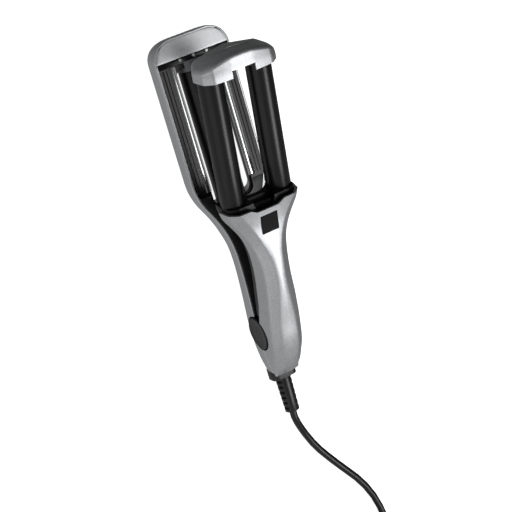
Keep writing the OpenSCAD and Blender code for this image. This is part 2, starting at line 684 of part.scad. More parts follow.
module front_plate_2d(y0, y1, inset) {
    ys = concat([y0], [for (y = front_stations()) if (y > y0 + 1 && y < y1 - 1) y], [y1]);
    polygon(concat([for (y = ys) [curve(head_keys, y) - inset, y]],
                   [for (i = [len(ys) - 1:-1:0]) [inset - curve(head_keys, ys[i]), ys[i]]]));
}
module front_cover() {
    color("#1b1b1d") front() difference() {
        union() {
            translate([0, 0, cover_z]) linear_extrude(2) front_plate_2d(19.5, cover_tip_y, wall + 0.2);
            translate([0, 0, cover_z]) linear_extrude(edge_z + 1 - cover_z) difference() {
                front_plate_2d(19.5, cover_tip_y, wall + 0.2);
                front_plate_2d(18, cover_tip_y + 1, wall + 1.9);
            }
        }
        for (y = cover_posts) translate([0, y, 0]) {
            cylinder(d = 2.8, h = 20);
            translate([0, 0, -1]) cylinder(d = 5.4, h = 3.3);
        }
        translate([0, 0, -centre_drop]) along_y(centre_d + 10, holder_base_y - 3, 200);
    }
}
module front_cover_screws() {
    color("#77787a") front() for (y = cover_posts) translate([0, y, 2.2]) rotate([180, 0, 0]) screw(2.1, 7);
}
module front_collar() {
    y0 = cover_tip_y + seat;
    color("#18181a") front() difference() {
        union() {
            intersection() {
                loft([for (y = [y0, head_y - 4, collar_tip_y]) mirror_ring([
                    [curve(head_keys, y) - wall - 0.6, cover_z], [curve(head_keys, y) - wall - 0.2, 9],
                    [curve(head_keys, y) - 4.4, curve(shoulder_keys, y) - 2.2],
                    [curve(flat_keys, y) - 2, 26], [0, 26.3]], y)]);
                translate([-50, y0, 0]) cube([100, 30, 60]);
            }
            barrel_spigots(collar_tip_y - 1, collar_tip_y + spigot_len);
        }
        difference() {
            barrel_holes(collar_tip_y - barrel_seat, collar_tip_y + 1);
            barrel_spigots(y0, collar_tip_y + 1);
        }
        for (s = [-1, 1]) translate([s * barrel_x, 0, barrel_rise])
            along_y(barrel_bore - 8, y0 - 1, collar_tip_y + 20);
        translate([-9.5, head_y - 4.2, 22]) cube([19, 20, 10]);
        translate([-10.5, collar_tip_y - 4, 16]) cube([21, 20, 10]);
        translate([0, 0, -centre_drop]) along_y(centre_d + 10, 100, 200);
    }
    color("#18181a") front() for (i = [0, 1])
        translate([-8, head_y - 3.4 + i * 1.9, 21.9]) cube([16, 0.7, 0.9]);
}
module front_barrel(side) {
    color("#202022") front() translate([side * barrel_x, 0, barrel_rise]) difference() {
        along_y(barrel_d, collar_tip_y - barrel_seat + seat, barrel_tip_y);
        along_y(barrel_bore, collar_tip_y - 40, cap_base_y + 10);
    }
}
module front_barrel_left() { front_barrel(-1); }
module front_barrel_right() { front_barrel(1); }
module front_heater(side) {
    color("#a8a9aa") front() translate([side * barrel_x, 0, barrel_rise])
        barrel_core(barrel_bore, collar_tip_y + spigot_len + 0.5, cap_base_y - 4);
}
module front_heater_left() { front_heater(-1); }
module front_heater_right() { front_heater(1); }
cap_bend_y = [tip_y - 13, tip_y - 9, tip_y - 6];
cap_half = [[32, 1.6], [37, 10.6], [37, 12.5], [35, 24], [28, 30.2], [10, 31.8], [0, 32]];
function cap_ring(y, grow) =
    let (r = tip_corner_r - 2, t = max(y - (tip_y - r), 0) / r,
         k = 1 - 0.5 * (1 - sqrt(max(1 - t * t, 0))), mid = 15)
    mirror_ring([for (p = cap_half) [p[0] > 0 ? (p[0] + cap_w / 2 - 37 - grow) * k : 0,
        mid + (p[1] - mid - (p[1] > mid ? grow : -grow)) * (1 - 0.25 * t * t)]], y);
module front_cap() {
    color("#c2c4c6") front() difference() {
        loft([for (y = concat([cap_base_y, cap_base_y + 3], cap_bend_y, [tip_y - 4, tip_y - 2, tip_y - 0.8, tip_y]))
            cap_ring(y, 0)]);
        loft([for (y = concat([cap_base_y - 1], cap_bend_y, [tip_y - 4, tip_y - wall - 0.4])) cap_ring(y, wall)]);
        translate([-cap_notch_w / 2, cap_base_y - 1, -5]) cube([cap_notch_w, cap_notch_depth + 1, 60]);
        barrel_holes(cap_base_y - 1, barrel_tip_y + 0.2);
    }
}
module barrel_spigots(y0, y1) {
    for (s = [-1, 1]) translate([s * barrel_x, 0, barrel_rise]) along_y(barrel_bore - 2 * seat, y0, y1);
}
module barrel_holes(y0, y1) {
    for (s = [-1, 1]) translate([s * barrel_x, 0, barrel_rise]) along_y(barrel_d + 2 * seat, y0, y1);
}
module cap_plug() {
    color("#19191b") front() difference() {
        union() {
            difference() {
                intersection() {
                    loft([for (y = concat([cap_base_y - 1], cap_bend_y)) cap_ring(y, wall + 0.2)]);
                    cap_plates();
                }
                barrel_holes(cap_base_y - 3, barrel_tip_y + 0.1);
            }
            barrel_spigots(cap_base_y - 2, barrel_tip_y);
            for (s = [-1, 1]) translate([s * barrel_x, 0, barrel_rise])
                along_y(barrel_bore - 5, barrel_tip_y - 1, barrel_tip_y + 1.5);
        }
        for (s = [-1, 1]) translate([s * barrel_x, 0, barrel_rise]) along_y(2.6, 200, 300);
    }
}
// One plate behind the notch and two that fill the cap's mouth on both sides of it
module cap_plates() {
    side = cap_notch_w / 2 + 0.3;
    translate([-60, barrel_tip_y + 0.9, -10]) cube([120, 4, 60]);
    for (x = [-60, side]) translate([x, cap_base_y + 0.6, barrel_rise - 6.5])
        cube([60 - side, cap_notch_depth + 1, 60]);
}
module cap_screws() {
    color("#77787a") front() for (s = [-1, 1])
        translate([s * barrel_x, barrel_tip_y + 4.9 + eps, barrel_rise])
            rotate([-90, 0, 0]) screw(2.5, 9);
}

rear_shell();
rear_tip_panel();
rear_liner();
heated_strip_left();
heated_strip_right();
strip_heater_left();
strip_heater_right();
centre_barrel();
centre_heater();
barrel_end_ring();
tip_holder();
holder_screws();
base_holder();
rear_cover();
rear_cover_screws();
hinge_block();
pivot_tube();
return_spring();
power_button();
power_switch();
pivot_cap();
circuit_board();
thermal_fuse();
end_collar();
strain_relief();
cord_clamp();
cord();
cord_coil();
plug_body();
plug_pins();
front_shell();
front_badge();
front_chassis();
front_cover();
front_cover_screws();
pivot_bushes();
front_collar();
front_barrel_left();
front_barrel_right();
front_heater_left();
front_heater_right();
cap_plug();
cap_screws();
front_cap();
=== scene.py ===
import math
import bmesh
import bpy
from mathutils import Matrix, Vector


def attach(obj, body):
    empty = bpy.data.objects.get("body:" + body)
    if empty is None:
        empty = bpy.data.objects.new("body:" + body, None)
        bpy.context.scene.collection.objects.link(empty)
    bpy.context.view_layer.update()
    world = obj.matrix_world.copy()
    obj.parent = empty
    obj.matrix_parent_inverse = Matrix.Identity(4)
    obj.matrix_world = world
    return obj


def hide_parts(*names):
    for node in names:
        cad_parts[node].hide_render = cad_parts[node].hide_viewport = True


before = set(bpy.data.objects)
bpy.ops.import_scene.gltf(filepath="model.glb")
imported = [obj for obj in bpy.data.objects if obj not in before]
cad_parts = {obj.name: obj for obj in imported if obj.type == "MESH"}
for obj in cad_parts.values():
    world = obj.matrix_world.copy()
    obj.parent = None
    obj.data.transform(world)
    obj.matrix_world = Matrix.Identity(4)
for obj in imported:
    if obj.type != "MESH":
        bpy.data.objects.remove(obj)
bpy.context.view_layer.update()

# ---- Camera ----
# The viewpoint of the photograph: high over the tip's left corner, rolled so that the tool
# runs up the picture. Fitted to the outlines of the barrels, the jaws and the handle.
camera_data = bpy.data.cameras.new("camera")
camera_data.sensor_width = 36
camera_data.lens = 102.54
camera = bpy.data.objects.new("camera", camera_data)
bpy.context.scene.collection.objects.link(camera)
camera_right = Vector((0.84124, -0.27013, 0.46834))
camera_up = Vector((0.37753, 0.91357, -0.15120))
camera_back = Vector((-0.38702, 0.30401, 0.87051))
camera_place = Vector((-0.50057, 0.46435, 1.15537))


def standing_at(place, right, up, back):
    # The matrix of a camera or lamp from its place and its three directions
    return Matrix([(*row,) for row in zip(right, up, back, place)] + [(0, 0, 0, 1)])


camera.matrix_world = standing_at(camera_place, camera_right, camera_up, camera_back)
bpy.context.scene.camera = camera

# ---- Cord ----
# A round mains lead with a soft black PVC jacket, 7 mm thick. It leaves the strain relief
# straight, drops to the table, curves away and is wound into a neat coil of two layers.
MM = 0.001
CORD_R = 3.5
RELIEF_TIP = Vector((0, -88.2, 10))
cord_route = [
    (0, -86.2, 10), (0, -96, 9.7), (2, -104, 8), (5, -112, 5.6), (8.5, -121, 4),
    (13, -132, 3.5), (18, -142, 3.5), (24, -152, 3.5), (31, -163, 3.5), (39, -175, 3.5),
    (47, -187, 3.5), (54, -200, 3.5), (59.5, -214, 3.5), (63, -228, 3.5), (65, -242, 3.5),
    (66, -256, 3.5), (66, -268, 3.5), (66, -280, 3.5)]
COIL_CENTRE = Vector((17, -280, 0))
COIL_R = 42
# Column and layer of each turn: outwards in, up, then inwards out
coil_turns = [(1, 0), (0, 0), (-1, 0), (-1, 1), (0, 1), (1, 1)]
CROSS_OVER = 60
CLIMB_BULGE = -0.36
COIL_STEP = 15
COIL_END = 5 * 360 + 90
LEAD_END = Vector((-22, -329, 7))
LEAD_STEPS = 4


def coil_point(angle):
    turn = int(angle // 360)
    column, layer = coil_turns[turn]
    step = max(angle % 360 - (360 - CROSS_OVER), 0) / CROSS_OVER
    bulge = 0
    if step > 0 and turn + 1 < len(coil_turns):
        next_column, next_layer = coil_turns[turn + 1]
        if next_column == column:
            bulge = CLIMB_BULGE * math.sin(math.pi * step)
        step = step * step * (3 - 2 * step)
        column += (next_column - column) * step
        layer += (next_layer - layer) * step
    radius = COIL_R + (column + bulge) * 2 * CORD_R
    turned = math.radians(-angle)
    return COIL_CENTRE + Vector((radius * math.cos(turned), radius * math.sin(turned),
                                 CORD_R + layer * 2 * CORD_R))


cord_points = [Vector(p) for p in cord_route]
cord_points += [coil_point(angle) for angle in range(COIL_STEP, COIL_END, COIL_STEP)]
lead_start = coil_point(COIL_END)
for i in range(LEAD_STEPS + 1):
    t = i / LEAD_STEPS
    drop = t * t * (3 - 2 * t)
    cord_points.append(Vector((lead_start.x + (LEAD_END.x - lead_start.x) * t, LEAD_END.y,
                               lead_start.z + (LEAD_END.z - lead_start.z) * drop)))

bpy.ops.curve.primitive_nurbs_path_add()
cord = bpy.context.object
cord.name = "cord_lead"
while cord.data.splines:
    cord.data.splines.remove(cord.data.splines[0])
strand = cord.data.splines.new("POLY")
strand.points.add(len(cord_points) - 1)
for point, place in zip(strand.points, cord_points):
    point.co = (*(place * MM), 1)
cord.data.bevel_depth = CORD_R * MM
cord.data.bevel_resolution = 4
cord.data.use_fill_caps = True
strand.use_smooth = True


def linear(hex_colour):
    parts = [int(hex_colour[i:i + 2], 16) / 255 for i in (1, 3, 5)]
    return tuple(c / 12.92 if c <= 0.04045 else ((c + 0.055) / 1.055) ** 2.4 for c in parts) + (1,)


def add_node(material, kind, settings, links):
    node = material.node_tree.nodes.new("ShaderNode" + kind)
    for key, value in settings.items():
        if key in node.inputs:
            node.inputs[key].default_value = value
        else:
            setattr(node, key, value)
    for socket, source in links.items():
        material.node_tree.links.new(source, node.inputs[socket])
    return node


def start_material(name, settings):
    material = bpy.data.materials.new(name)
    material.use_nodes = True
    shader = material.node_tree.nodes["Principled BSDF"]
    for key, value in settings.items():
        shader.inputs[key].default_value = value
    place = add_node(material, "TexCoord", {}, {}).outputs["Object"]
    return material, shader, place


def tint(material, shader, pattern, low, high, dark, light):
    # Maps a pattern's value from low..high onto two near shades of the base colour
    ramp = add_node(material, "ValToRGB", {}, {"Fac": pattern})
    for element, position, colour in zip(ramp.color_ramp.elements, (low, high), (dark, light)):
        element.position = position
        element.color = linear(colour)
    material.node_tree.links.new(ramp.outputs["Color"], shader.inputs["Base Color"])


def raise_surface(material, shader, pattern, height, strength):
    # Bump of the given height in mm
    bump = add_node(material, "Bump", {"Distance": height * MM, "Strength": strength},
                    {"Height": pattern})
    material.node_tree.links.new(bump.outputs["Normal"], shader.inputs["Normal"])


def vary_roughness(material, shader, pattern, low, high):
    span = add_node(material, "MapRange", {"To Min": low, "To Max": high}, {"Value": pattern})
    material.node_tree.links.new(span.outputs["Result"], shader.inputs["Roughness"])


def per(size):
    # Repeats in a metre of a pattern whose size is in mm
    return 1 / (size * MM)


# Soft PVC jacket, extruded: a soft gloss, a faint grain about 0.5 mm across, a slight bloom
def soft_pvc():
    material, shader, place = start_material("extruded_soft_pvc", {"IOR": 1.53})
    grain = add_node(material, "TexNoise", {"Scale": per(0.5), "Detail": 3},
                     {"Vector": place}).outputs["Fac"]
    bloom = add_node(material, "TexNoise", {"Scale": per(18), "Detail": 2},
                     {"Vector": place}).outputs["Fac"]
    tint(material, shader, bloom, 0.35, 0.7, "#0B0B0C", "#121213")
    vary_roughness(material, shader, bloom, 0.26, 0.36)
    raise_surface(material, shader, grain, 0.05, 0.35)
    return material


pvc = soft_pvc()


def dress(piece, material):
    piece.data.materials.clear()
    piece.data.materials.append(material)


def fit_piece(piece, material, body, slot, *nodes):
    dress(piece, material)
    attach(piece, body)
    if nodes:
        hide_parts(*nodes)


fit_piece(cord, pvc, "rear_arm", "cord_pvc", "cord", "cord_coil")


# ---- Floor and light ----
# A white light table in a studio that is darker beyond the tip: one long soft box overhead gives
# the bright streaks, two weak ones fill the tip and the left. The table glows: faint shadows.
def start_fresh():
    if bpy.context.object and bpy.context.object.mode != "OBJECT":
        bpy.ops.object.mode_set(mode="OBJECT")
    bpy.ops.object.select_all(action="DESELECT")


start_fresh()
bpy.ops.mesh.primitive_plane_add(size=8, location=(0, 0, -0.0004))
floor = bpy.context.object
floor.name = "floor"
table_top, table_shader, table_place = start_material("opal_table_top", {
    "Roughness": 0.9, "Emission Color": (1, 1, 1, 1), "Emission Strength": 0.92})
haze = add_node(table_top, "TexNoise", {"Scale": per(40), "Detail": 2},
                {"Vector": table_place}).outputs["Fac"]
tint(table_top, table_shader, haze, 0.3, 0.7, "#F2F2F2", "#F8F8F8")
dress(floor, table_top)
floor.visible_glossy = False
floor.visible_diffuse = False

bpy.context.scene.view_settings.view_transform = "Standard"
STUDIO_DARK, STUDIO_BRIGHT = 0.04, 0.42
BRIGHT_SIDE = (-0.75, -0.65, 0)
world = bpy.data.worlds.new("studio")
bpy.context.scene.world = world
world.use_nodes = True
heading = add_node(world, "TexCoord", {}, {}).outputs["Generated"]
towards = add_node(world, "VectorMath", {"operation": "DOT_PRODUCT"}, {0: heading})
towards.inputs[1].default_value = BRIGHT_SIDE
glow = add_node(world, "MapRange", {
    "From Min": -0.8, "From Max": 0.8, "To Min": STUDIO_DARK, "To Max": STUDIO_BRIGHT},
    {"Value": towards.outputs["Value"]})
background = world.node_tree.nodes["Background"]
background.inputs["Color"].default_value = (1, 1, 1, 1)
world.node_tree.links.new(glow.outputs["Result"], background.inputs["Strength"])
LIT_PLACE = Vector((0, 0.08, 0.03))


def soft_box(name, direction, distance, width, length, power):
    # A lit panel turned to the tool, its length as near along the tool as it can be, in metres
    data = bpy.data.lights.new(name, "AREA")
    data.shape = "RECTANGLE"
    data.size = width
    data.size_y = length
    data.energy = power
    lamp = bpy.data.objects.new(name, data)
    bpy.context.scene.collection.objects.link(lamp)
    facing = Vector(direction).normalized()
    along = (Vector((0, 1, 0)) - facing * facing.y).normalized()
    lamp.matrix_world = standing_at(LIT_PLACE + facing * distance, along.cross(facing), along,
                                    facing)


soft_box("soft_box_key", (0.38, -0.46, 0.78), 1.25, 0.5, 0.72, 4.9)
soft_box("soft_box_tip", (0.4, -0.02, 0.92), 1.3, 0.6, 0.45, 1.7)
soft_box("soft_box_left", (-0.85, -0.3, 0.45), 1.4, 1.1, 1.3, 1.3)

# ---- Strain relief and end collar ----
# A sleeve of soft PVC with cross slots, moulded round the lead, held in a black ABS collar
# that closes the cord end of the rear shell.
RELIEF_LEN = 36
RELIEF_R = 7.5
RELIEF_LIP = 0.6
CORD_GAP = 0.15
SLOTS = 6
SLOT_WIDTH = 2.2
FIRST_SLOT = 3.4


def choose_faces(piece, keep):
    # Selects the faces of the piece in edit mode for which keep(normal) is true
    mesh = bmesh.from_edit_mesh(piece.data)
    for part in list(mesh.verts) + list(mesh.edges) + list(mesh.faces):
        part.select = False
    for face in mesh.faces:
        if keep(face.normal):
            face.select_set(True)
    bmesh.update_edit_mesh(piece.data)


def add_round(name, radius, start, end, sides=96):
    # A cylinder from start to end, in mm, its place put into the mesh
    start_fresh()
    start, end = Vector(start) * MM, Vector(end) * MM
    bpy.ops.mesh.primitive_cylinder_add(vertices=sides, radius=radius * MM,
                                        depth=(end - start).length)
    piece = bpy.context.object
    piece.name = name
    turn = (end - start).to_track_quat("Z", "Y").to_matrix().to_4x4()
    piece.data.transform(Matrix.Translation((start + end) / 2) @ turn)
    return piece


def add_block(name, low, high):
    start_fresh()
    bpy.ops.mesh.primitive_cube_add(size=1)
    piece = bpy.context.object
    piece.name = name
    low, high = Vector(low) * MM, Vector(high) * MM
    piece.data.transform(Matrix.Translation((low + high) / 2)
                         @ Matrix.Diagonal((*(high - low), 1)))
    return piece


def bevel_along(piece, axis, offset, segments):
    # Rounds the edges of a new block that run along axis 0, 1 or 2, and stays in edit mode
    bpy.ops.object.mode_set(mode="EDIT")
    mesh = bmesh.from_edit_mesh(piece.data)
    for edge in mesh.edges:
        a, b = edge.verts
        edge.select_set(abs(a.co[axis] - b.co[axis]) > 0.5 * MM)
    bmesh.update_edit_mesh(piece.data)
    bpy.ops.mesh.bevel(offset=offset * MM, segments=segments, affect="EDGES")


def pick(piece):
    start_fresh()
    bpy.context.view_layer.objects.active = piece
    piece.select_set(True)


def use_modifier(piece, kind, **settings):
    pick(piece)
    modifier = piece.modifiers.new(kind.lower(), kind)
    for key, value in settings.items():
        setattr(modifier, key, value)
    bpy.ops.object.modifier_apply(modifier=modifier.name)


def cut_away(piece, *cutters, operation="DIFFERENCE"):
    for cutter in cutters:
        use_modifier(piece, "BOOLEAN", operation=operation, solver="EXACT", object=cutter)
        bpy.data.objects.remove(cutter)


def join_to(piece, *others):
    cut_away(piece, *others, operation="UNION")


def round_edges(piece, width, segments=3, angle=30):
    use_modifier(piece, "BEVEL", width=width * MM, segments=segments, limit_method="ANGLE",
                 angle_limit=math.radians(angle), use_clamp_overlap=True, harden_normals=False)


def smooth(piece, angle=35):
    pick(piece)
    bpy.ops.object.shade_smooth_by_angle(angle=math.radians(angle))


relief = add_round("strain_relief_sleeve", RELIEF_R, RELIEF_TIP,
                   RELIEF_TIP + Vector((0, RELIEF_LEN, 0)), 48)
bpy.ops.object.mode_set(mode="EDIT")
choose_faces(relief, lambda normal: normal.y < -0.9)
bpy.ops.mesh.inset(thickness=RELIEF_LIP * MM)
bpy.ops.transform.translate(value=(0, -0.1 * MM, 0))
bpy.ops.mesh.inset(thickness=(RELIEF_R - RELIEF_LIP - CORD_R - CORD_GAP) * MM)
bpy.ops.mesh.extrude_region_move(TRANSFORM_OT_translate={"value": (0, 4 * MM, 0)})
bpy.ops.object.mode_set(mode="OBJECT")
for v in relief.data.vertices:
    # The sleeve tapers by a tenth towards the cord, but not its bore
    from_tip = v.co - RELIEF_TIP * MM
    taper = 0.9 + 0.1 * min(max(from_tip.y / (RELIEF_LEN * MM), 0), 1)
    if Vector((from_tip.x, from_tip.z)).length > (CORD_R + 1) * MM:
        v.co.x *= taper
        v.co.z = RELIEF_TIP.z * MM + from_tip.z * taper
for i in range(SLOTS):
    y = RELIEF_TIP.y + FIRST_SLOT + i * RELIEF_LEN / (SLOTS + 0.6)
    for side in (-1, 1):
        x = side * (CORD_R + 6.2)
        cut_away(relief, add_block("slot", (x - 5, y, -4), (x + 5, y + SLOT_WIDTH, 24)))
round_edges(relief, 0.35, 2, 40)
smooth(relief, 40)
fit_piece(relief, pvc, "rear_arm", "cord_pvc", "strain_relief")


# Injection moulded ABS with a spark-eroded texture about 0.35 mm across: satin or glossy black
def moulded_black(name, dark, light, roughness, mirror=0.5):
    material, shader, place = start_material(name, {"IOR": 1.54, "Specular IOR Level": mirror})
    grain = add_node(material, "TexNoise", {"Scale": per(0.35), "Detail": 2},
                     {"Vector": place}).outputs["Fac"]
    cloud = add_node(material, "TexNoise", {"Scale": per(12), "Detail": 3},
                     {"Vector": place}).outputs["Fac"]
    tint(material, shader, cloud, 0.3, 0.7, dark, light)
    vary_roughness(material, shader, cloud, roughness - 0.05, roughness + 0.06)
    raise_surface(material, shader, grain, 0.03, 0.3)
    return material


satin_abs = moulded_black("textured_black_abs", "#151516", "#1E1E20", 0.42)

collar = add_block("end_collar_block", (-12.5, -52.1, 2.5), (12.5, -42.1, 19.5))
bevel_along(collar, 1, 6, 8)
bpy.ops.object.mode_set(mode="OBJECT")
join_to(collar, add_round("spigot", 7.25, (0, -43, 10), (0, -39.8, 10), 48))
cut_away(collar, add_round("bore", 6.5, (0, -60, 10), (0, -46.3, 10), 48),
         add_round("bore", 4.1, (0, -60, 10), (0, -30, 10), 48))
round_edges(collar, 0.7, 3, 40)
smooth(collar)
fit_piece(collar, satin_abs, "rear_arm", "matt_black_plastic", "end_collar")

# ---- Plug ----
# A two-pin plug of hard PVC moulded on the lead, with grips at its sides and nickelled pins.
# It is modelled pointing along +Y and then turned to lie beside the coil, pointing along -X.
PLUG_PLACE = Matrix.Translation(Vector((-32, -329, 7)) * MM) @ Matrix.Rotation(math.pi / 2, 4, "Z")
PLUG_LEN = 22
PIN_R = 2
PIN_X = 9.3
PIN_END = 41
plug = add_block("plug_moulding", (-13, 0, -6.9), (13, PLUG_LEN, 6.9))
bevel_along(plug, 1, 6.6, 10)
choose_faces(plug, lambda normal: normal.y < -0.9)
bpy.ops.mesh.extrude_region_move(TRANSFORM_OT_translate={"value": (0, -3 * MM, 0)})
bpy.ops.transform.resize(value=(0.62, 1, 0.82), center_override=(0, 0, 0))
bpy.ops.object.mode_set(mode="OBJECT")
for x in (-13.4, 13.4):
    for y in (5, 9, 13):
        cut_away(plug, add_block("grip", (x - 1.1, y, -9), (x + 1.1, y + 1.6, 9)))
join_to(plug, add_round("boot", 5.4, (0, -11, 0), (0, 0, 0), 40))
for v in plug.data.vertices:
    if v.co.y < -3.5 * MM:
        v.co.x *= 0.84
        v.co.z *= 0.84
round_edges(plug, 0.5, 2, 40)
smooth(plug, 40)
plug.data.transform(PLUG_PLACE)
fit_piece(plug, moulded_black("hard_black_pvc", "#161617", "#202022", 0.36),
          "rear_arm", "cord_pvc", "plug_body")


def bare_metal(name, repeats, detail, shades, roughness):
    # Lines or blotches in a bare metal: how often they repeat in a metre along X, Y and Z
    material, shader, place = start_material(name, {"Metallic": 1})
    spread = add_node(material, "Mapping", {"Scale": repeats}, {"Vector": place})
    marks = add_node(material, "TexNoise", {"Scale": 1, "Detail": detail},
                     {"Vector": spread.outputs["Vector"]}).outputs["Fac"]
    tint(material, shader, marks, 0.3, 0.7, *shades)
    vary_roughness(material, shader, marks, *roughness)
    return material


def join_pieces(name, pieces, angle):
    start_fresh()
    for piece in pieces:
        piece.select_set(True)
    bpy.context.view_layer.objects.active = pieces[0]
    bpy.ops.object.join()
    whole = bpy.context.object
    whole.name = name
    smooth(whole, angle)
    return whole


pins = []
for x in (-PIN_X, PIN_X):
    pin = add_round("plug_pin", PIN_R, (x, PLUG_LEN, 0), (x, PIN_END, 0), 32)
    round_edges(pin, 0.7, 4, 40)
    pin.data.transform(PLUG_PLACE)
    pins.append(pin)
plug_pins = join_pieces("plug_pin_pair", pins, 40)
# Nickel plate over brass, tumbled bright: a warm white metal with faint drawing lines
nickel = bare_metal("nickel_plated_brass", (2500, 200, 2500), 2, ("#BDBDBB", "#CFCFCC"),
                    (0.16, 0.26))
fit_piece(plug_pins, nickel, "rear_arm", "plug_brass", "plug_pins")

# ---- Coil tie ----
# A loop of black nylon hook and loop tape, 12 mm wide, that lies round all six turns of the
# coil, square to them.
TIE_HALF = 6
TIE_THICK = 0.9
tie_place = (Matrix.Translation(COIL_CENTRE * MM) @ Matrix.Rotation(math.radians(-45), 4, "Z")
             @ Matrix.Translation((COIL_R * MM, 0, 0)) @ Matrix.Rotation(math.pi / 2, 4, "X"))


# Woven nylon, its threads 0.6 mm apart: matt and a little fuzzy
def nylon_tape():
    material, shader, place = start_material("woven_nylon_tape", {"IOR": 1.53, "Sheen Weight": 0.3})
    weave = add_node(material, "TexWave", {"Scale": per(0.6) / 6.28, "Distortion": 1.5},
                     {"Vector": place}).outputs["Fac"]
    tint(material, shader, weave, 0.2, 0.8, "#141416", "#242427")
    vary_roughness(material, shader, weave, 0.7, 0.85)
    raise_surface(material, shader, weave, 0.1, 0.5)
    return material


def tie_loop(name, grow, half_width):
    tie = add_block(name, (-10.6 - grow, -grow * 0.4, -half_width),
                    (10.6 + grow, 14.1 + grow, half_width))
    bevel_along(tie, 2, 3 + grow, 8)
    bpy.ops.object.mode_set(mode="OBJECT")
    return tie


tie = tie_loop("coil_tie", TIE_THICK, TIE_HALF)
cut_away(tie, tie_loop("loop_inside", 0, TIE_HALF + 2))
round_edges(tie, 0.15, 2, 40)
smooth(tie, 40)
tie.data.transform(tie_place)
fit_piece(tie, nylon_tape(), "rear_arm", "cord_pvc")


# ---- Rear shell ----
# The lower half of the tool: one deep moulding of ABS with silver metallic paint, a flared
# window right through its jaw, and fine grip ribs across its tip.
HINGE_Z = 22
DECK_Z = 22.4
TIP_Y = 277
TIP_R = 18
TAIL_Y = -42
WALL = 2
BOW_LEN = 13
BOW_H = 13
DISC_GAP_R = 16.8
rear_width_keys = [(-42, 13.2), (-30, 15.4), (-10, 16.8), (10, 16.8), (35, 15.5), (65, 14.7),
                   (85, 15.7), (100, 18.9), (115, 24.8), (130, 32.4), (143, 36.2), (152, 36.8)]
belly_keys = [(-42, 8), (-20, 5.4), (0, 5), (30, 6.5), (65, 8), (100, 7), (150, 7), (300, 7)]


def curve(keys, y):
    # Smooth curve through [place, value] keys
    i = 0
    while i < len(keys) - 2 and y > keys[i + 1][0]:
        i += 1

    def slope(k):
        a, b = max(k - 1, 0), min(k + 1, len(keys) - 1)
        return (keys[b][1] - keys[a][1]) / (keys[b][0] - keys[a][0])
    h = keys[i + 1][0] - keys[i][0]
    t = min(max((y - keys[i][0]) / h, 0), 1)
    return ((2 * t ** 3 - 3 * t ** 2 + 1) * keys[i][1] + (t ** 3 - 2 * t ** 2 + t) * slope(i) * h
            + (3 * t ** 2 - 2 * t ** 3) * keys[i + 1][1] + (t ** 3 - t ** 2) * slope(i + 1) * h)


def soft_step(low, high, y):
    t = min(max((y - low) / (high - low), 0), 1)
    return t * t * (3 - 2 * t)


def steps_between(start, end, count):
    return [start + (end - start) * i / count for i in range(count + 1)]


def rear_half(y):
    half = curve(rear_width_keys, y)
    over = y - (TIP_Y - TIP_R)
    return half if over <= 0 else half - TIP_R + math.sqrt(max(TIP_R ** 2 - over ** 2, 0))


def soft_corners(corners, radii, steps=4):
    # Points of an outline whose corners are rounded; the first and last point stay
    points = [Vector(corners[0])]
    for i in range(1, len(corners) - 1):
        a, p, b = (Vector(corners[j]) for j in (i - 1, i, i + 1))
        reach = min(radii[i - 1], (a - p).length * 0.49, (b - p).length * 0.49)
        start = p + (a - p).normalized() * reach
        end = p + (b - p).normalized() * reach
        for t in steps_between(0, 1, steps):
            points.append(start * (1 - t) ** 2 + p * 2 * t * (1 - t) + end * t * t)
    points.append(Vector(corners[-1]))
    return points


def both_sides(half, y):
    # Ring of [x, y, z] in mm from the half outline [x, z] that runs from bottom to top
    right = [Vector((p[0], y, p[1])) for p in half]
    left = [Vector((-p[0], y, p[1])) for p in reversed(half)]
    return right + left


def loft(name, rings, closed=True):
    # A grid laid round the rings, then merged along its seam and filled at both ends
    start_fresh()
    columns = len(rings[0])
    bpy.ops.mesh.primitive_grid_add(x_subdivisions=columns - (0 if closed else 1),
                                    y_subdivisions=len(rings) - 1, size=1)
    piece = bpy.context.object
    piece.name = name
    row_length = columns + (1 if closed else 0)
    for i, vertex in enumerate(piece.data.vertices):
        row, column = divmod(i, row_length)
        vertex.co = rings[row][column % columns] * MM
    if closed:
        bpy.ops.object.mode_set(mode="EDIT")
        bpy.ops.mesh.select_all(action="SELECT")
        bpy.ops.mesh.remove_doubles(threshold=0.0005 * MM)
        bpy.ops.mesh.select_all(action="DESELECT")
        bpy.ops.mesh.select_mode(type="EDGE")
        bpy.ops.mesh.select_non_manifold(extend=False)
        bpy.ops.mesh.edge_face_add()
        bpy.ops.mesh.select_all(action="SELECT")
        bpy.ops.mesh.normals_make_consistent(inside=False)
        bpy.ops.mesh.select_mode(type="VERT")
        bpy.ops.object.mode_set(mode="OBJECT")
    return piece


def plate(name, ys, half, low, high):
    # A flat plate from height low to high, whose half width at each y is half(y)
    edge = [Vector((half(y), y, 0)) for y in ys]
    edge += [Vector((-p.x, p.y, 0)) for p in reversed(edge)]
    return loft(name, [[p + Vector((0, 0, z)) for p in edge] for z in (low, high)])


def tip_rise(y):
    # The flat back rises towards the tip in a quarter of an ellipse
    t = min(max((y - TIP_Y) / BOW_LEN + 1, 0), 1)
    return BOW_H * (1 - math.sqrt(1 - t * t))


def rear_side(y):
    return rear_half(y) - 0.9 * (1 - soft_step(80, 100, y))


def rear_outer(y):
    w, s, b, rise = rear_half(y), rear_side(y), curve(belly_keys, y), tip_rise(y)
    half = soft_corners([(0, rise), (s - 6.2, rise), (s, b + rise * 0.7), (w, DECK_Z - 0.9),
                         (w - 0.7, DECK_Z), (w - 3, DECK_Z), (0, DECK_Z)],
                        [3, 3, 0.5, 0.5, 0.1])
    return both_sides(half[:-1], y)


